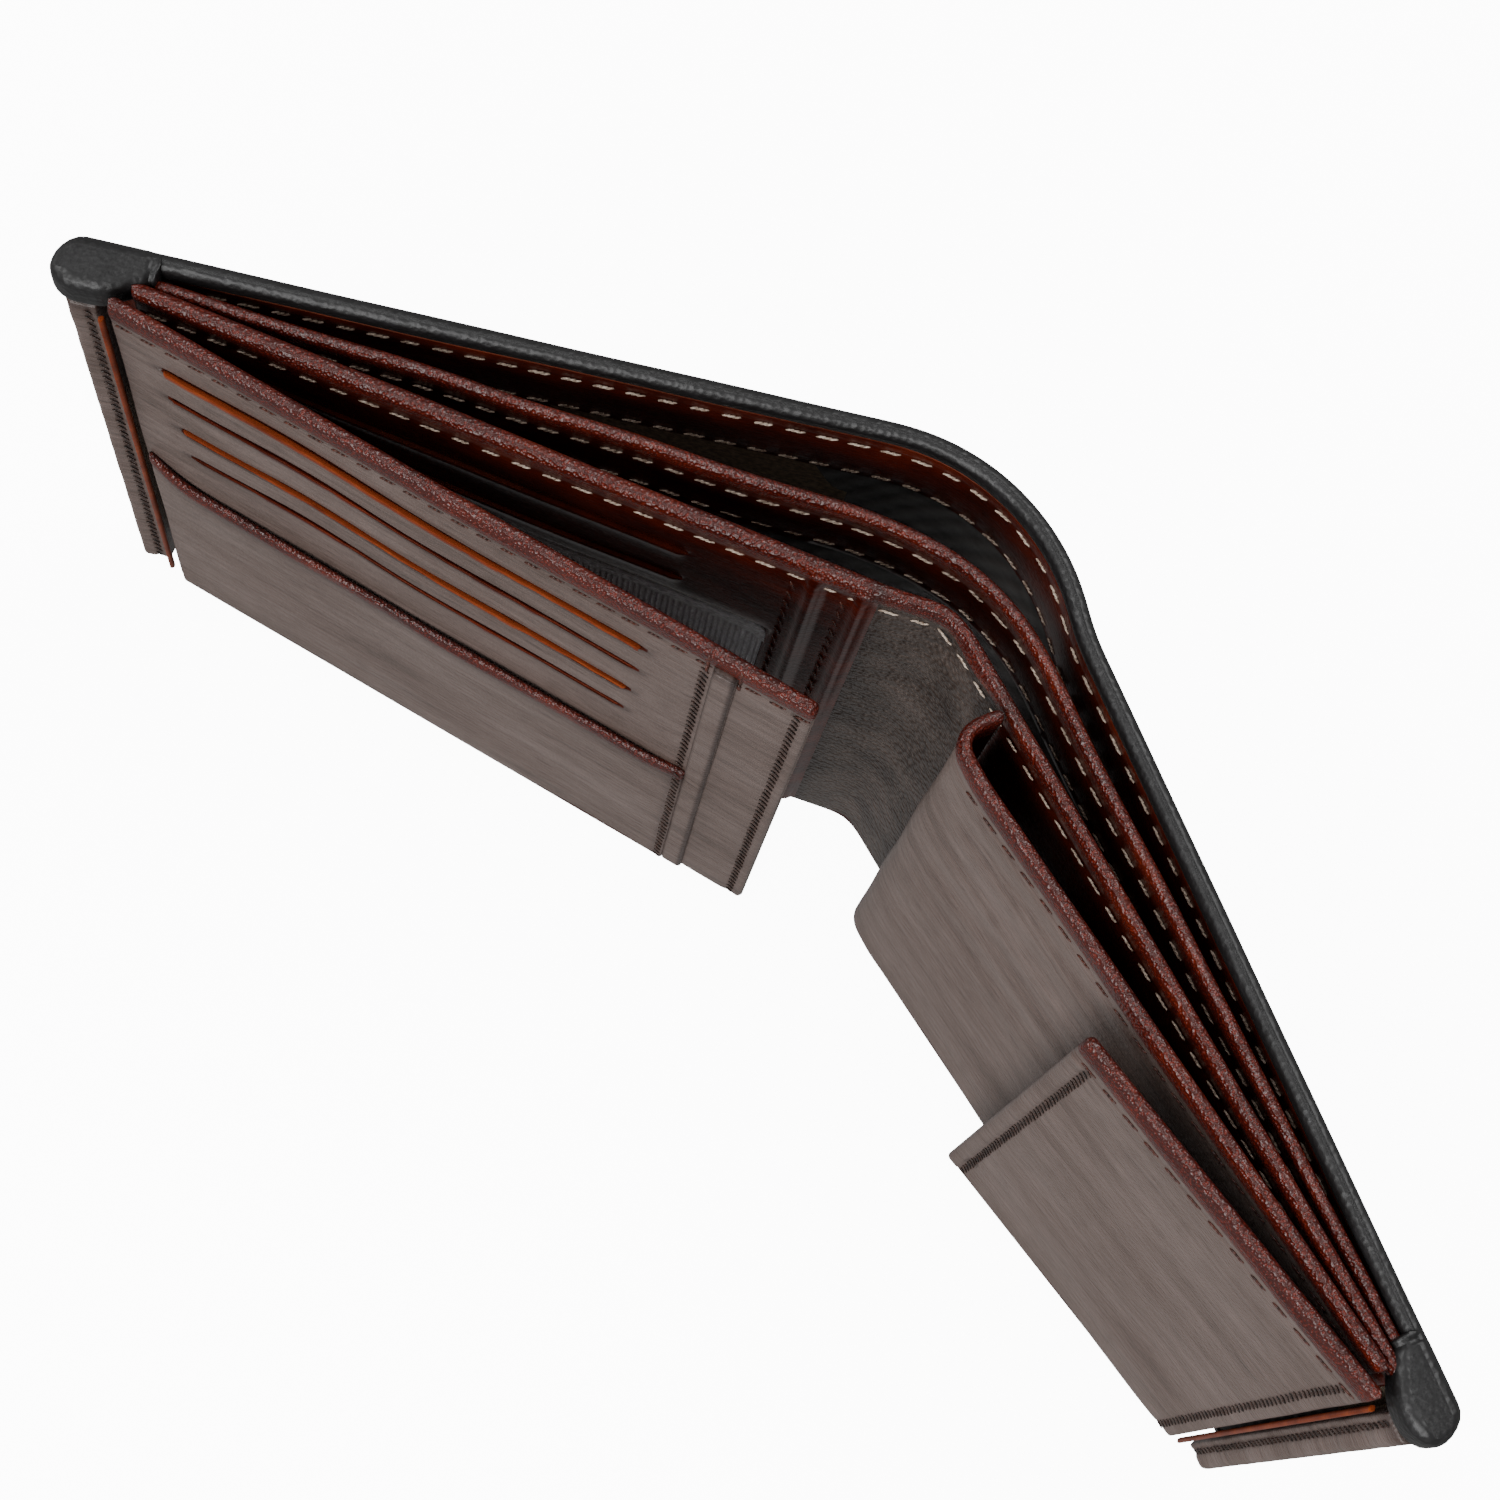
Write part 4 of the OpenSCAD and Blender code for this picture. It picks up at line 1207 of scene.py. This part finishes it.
coin = cut(
    "coin_pocket_front", coin_run, stations(0, coin_run.length, 0.6, (0.6, 0.5)), coin_section, (0.6, 0.5),
    (0, 0), coin_painted_shade,
)
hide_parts("coin_front", "coin_roll", "coin_side_gusset")
coin_line = [line_along(coin_run, CORNER + 1, coin_run.length - 2, 0.58, 84.6, 140, (20, 61, 0.35))]
coin_rows = stitch_row("coin_pocket_stitches", coin_line, RED_THREAD, 3.8, 2.9, 0.34, 0.08, 8)
for piece in (coin, coin_rows):
    metres(coin_run.place(0, 0, 0)[:2])
    metres(coin_run.place(CORNER + 2, 0, 0)[:2])
    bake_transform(piece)

COIN_FLAP_END = 51.1


def coin_flap_section(a):
    strip = 0.28 * smooth_step((2.5 - a) / 0.3)
    sunk = -0.18 * hump(a, 3.2, 0.8) - 0.18 * hump(a, 48.6, 0.8)
    front = [(z, strip + sunk, TAUPE) for z in np.linspace(1.5, 82.5, 34)]
    front += levels(TAUPE, (83.4, strip), (84.1, -0.12), (84.9, 0.02))
    front += levels(ROLL, (85.9, 0.06), (86.9, 0.2), (88.0, 0.22))
    front = softly(front, a, 71, 0.45, 18)
    back = softly(upright(1.5, 84, 10, 0.0, SHADE) + levels(ROLL, (86.4, 0.1), (88.0, 0.15)), a, 72, 0.1)
    top = HEIGHT - 0.1 + 0.3 * drift(a, 0.05, 29.0)
    return wall(0.4, top, -1.5, 0.0, front, back, (0.12, 1.2, ROLL), steps=8)


def coin_flap_painted_shade(a, z):
    # painted shade in the crease under the rolled top and along the two sunk seam lines, and darker towards
    # the hinge end
    dark = 0.7 * hump(z, 85.4, 0.35) + 0.25 * hump(a, 3.1, 0.5)
    return dark + 0.25 * hump(a, 48.6, 0.4) + 0.4 * math.exp(-(a / 0.8))


coin_flap = cut(
    "coin_flap_panel", coin_flap_run, stations(0, COIN_FLAP_END, 0.5, (0.7, 0.6)), coin_flap_section,
    (0.7, 0.6), (1.2, 0), coin_flap_painted_shade,
)
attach(coin_flap, "coin_flap")
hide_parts("coin_flap_front", "coin_flap_backing", "coin_flap_free_edge", "coin_flap_roll")
waves = (18, 71, 0.45)
rows = [line_along(coin_flap_run, 3, 49, -0.02, 84.1, 90, waves)]
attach(stitch_row("coin_flap_top_stitches", rows, RED_THREAD, 3.6, 2.8, 0.34, 0.1, 3), "coin_flap")
rows = [
    line_up(coin_flap_run, 3.2, 0.04, 83.5, 2.0, 120, waves),
    line_up(coin_flap_run, 48.6, 0.04, 83.5, 2.0, 120, waves),
]
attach(stitch_row("coin_flap_seam_stitches", rows, DARK_THREAD, 1.6, 1.5, 0.3, 0.85, 4), "coin_flap")

# ---------------------------------------------------------------- folded floors


def floor_piece(name, body, node, edge_a, edge_b, rise):
    """A strip of lining sewn between two lines at the foot, folded up along its middle."""
    count, wide = len(edge_a), 9
    top, low = [], []
    for p, q in zip(edge_a, edge_b):
        for t in np.linspace(0, 1, wide):
            z = 1.2 + rise * (1 - abs(2 * t - 1)) * min(1.0, np.linalg.norm(q - p) / 8)
            here = p * (1 - t) + q * t
            top.append((*here, z + 0.18))
            low.append((*here, z - 0.18))
    verts = np.array(top + low) * MM
    half = count * wide
    faces = []
    for i in range(count - 1):
        for j in range(wide - 1):
            k = i * wide + j
            faces.append((k, k + 1, k + wide + 1, k + wide))
            faces.append((half + k + wide, half + k + wide + 1, half + k + 1, half + k))
    rim = [i * wide for i in range(count)] + [(count - 1) * wide + j for j in range(1, wide)]
    rim += [i * wide + wide - 1 for i in range(count - 2, -1, -1)] + [j for j in range(wide - 2, 0, -1)]
    for i, k in enumerate(rim):
        n = rim[(i + 1) % len(rim)]
        faces.append((k, n, half + n, half + k))
    mesh = bpy.data.meshes.new(name)
    mesh.from_pydata(verts.tolist(), [], faces)
    mesh.materials.append(TWILL)
    uv = mesh.uv_layers.new(name="cut")
    flat = np.array([(v.co.x, v.co.y) for v in mesh.vertices])
    corners = np.zeros(len(mesh.loops), int)
    mesh.loops.foreach_get("vertex_index", corners)
    uv.data.foreach_set("uv", flat[corners].ravel())
    piece = finish_mesh(name, mesh)
    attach(piece, body)
    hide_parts(node)
    return piece


def floor_between(name, body, node, plan, seam_u, to_u, inner_seam, tilt, half):
    us = np.linspace(seam_u, to_u, 24)
    inner_edge_line = [ply_plan(plan, inner_seam, tilt, u, -half - 0.35) for u in us]
    cover_line = []
    for u in us:
        s = inner_seam[0] - u * math.cos(math.radians(tilt))
        cover_line.append(plan(s, 2.1))
    piece = floor_piece(name, body, node, cover_line, inner_edge_line, 2.5)
    inward = plan(0, 1) - plan(0, 0)
    metres(plan(50, 2.1), 1)
    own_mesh(piece)


floor_between(
    "note_floor_left", "left_cover", "floor_gusset_left", left_plan,
    14, 78, LEFT_INNER, LEFT_INNER_TILT, 0.8,
)
floor_between(
    "note_floor_right", "right_cover", "floor_gusset_right",
    right_plan, 14, 88, RIGHT_INNER, RIGHT_INNER_TILT, 0.6,
)
us = np.linspace(14, 76, 20)
coin_floor = floor_piece(
    "coin_floor_fold", "right_inner", "coin_floor",
    [right_inner_ply(u, 0.95) for u in us],
    [ply_plan(right_plan, COIN, COIN_TILT, u - 1.5, -0.9) for u in us], 1.5,
)
inward = right_inner_ply(0, 1) - right_inner_ply(0, 0)
metres(right_inner_ply(40, 0.9), 1)
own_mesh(coin_floor)

# ---------------------------------------------------------------- studio

TABLE_GLOW, SKY_STRENGTH = 11.0, 0.36
floor_mesh = bpy.data.meshes.new("studio_floor")
floor_mesh.from_pydata([(-3, -3, 0), (3, -3, 0), (3, 3, 0), (-3, 3, 0)], [], [(0, 1, 2, 3)])
paper = Finish("white_light_table")
paper.surface(
    {
        "Base Color": linear("f4f4f4"),
        "Roughness": 0.9,
        "Emission Color": (1, 1, 1, 1),
        "Emission Strength": TABLE_GLOW,
    }
)
floor_mesh.materials.append(paper.material)
floor = bpy.data.objects.new("studio_floor", floor_mesh)
floor.location.z = -0.0005
bpy.context.scene.collection.objects.link(floor)
floor.visible_diffuse = False
floor.visible_glossy = False

world = bpy.data.worlds.new("soft_studio_light")
world.use_nodes = True
world.node_tree.nodes["Background"].inputs["Color"].default_value = (1, 1, 1, 1)
world.node_tree.nodes["Background"].inputs["Strength"].default_value = SKY_STRENGTH
bpy.context.scene.world = world


def soft_box(name, place, aim, size, power):
    lamp = bpy.data.lights.new(name, "AREA")
    lamp.shape, lamp.size, lamp.energy = "DISK", size, power
    made = bpy.data.objects.new(name, lamp)
    made.location = place
    made.rotation_euler = (Vector(aim) - Vector(place)).to_track_quat("-Z", "Y").to_euler()
    bpy.context.scene.collection.objects.link(made)


soft_box("front_soft_box", (0.15, -1.1, 0.75), (0, -0.03, 0.05), 0.9, 17)
soft_box("left_soft_box", (-0.9, -0.3, 0.8), (0, -0.03, 0.05), 0.6, 7)
soft_box("top_soft_box", (0.2, 0.5, 1.1), (0, 0, 0.05), 0.7, 9)

camera_data = bpy.data.cameras.new("camera")
camera_data.lens, camera_data.sensor_width = 62.4, 36
camera_data.clip_start = 0.01
camera = bpy.data.objects.new("camera", camera_data)
camera.location = (0.0330, -0.13656, 0.379)
camera.rotation_euler = [math.radians(a) for a in (17.304, -6.037, 39.288)]
bpy.context.scene.collection.objects.link(camera)
bpy.context.scene.camera = camera
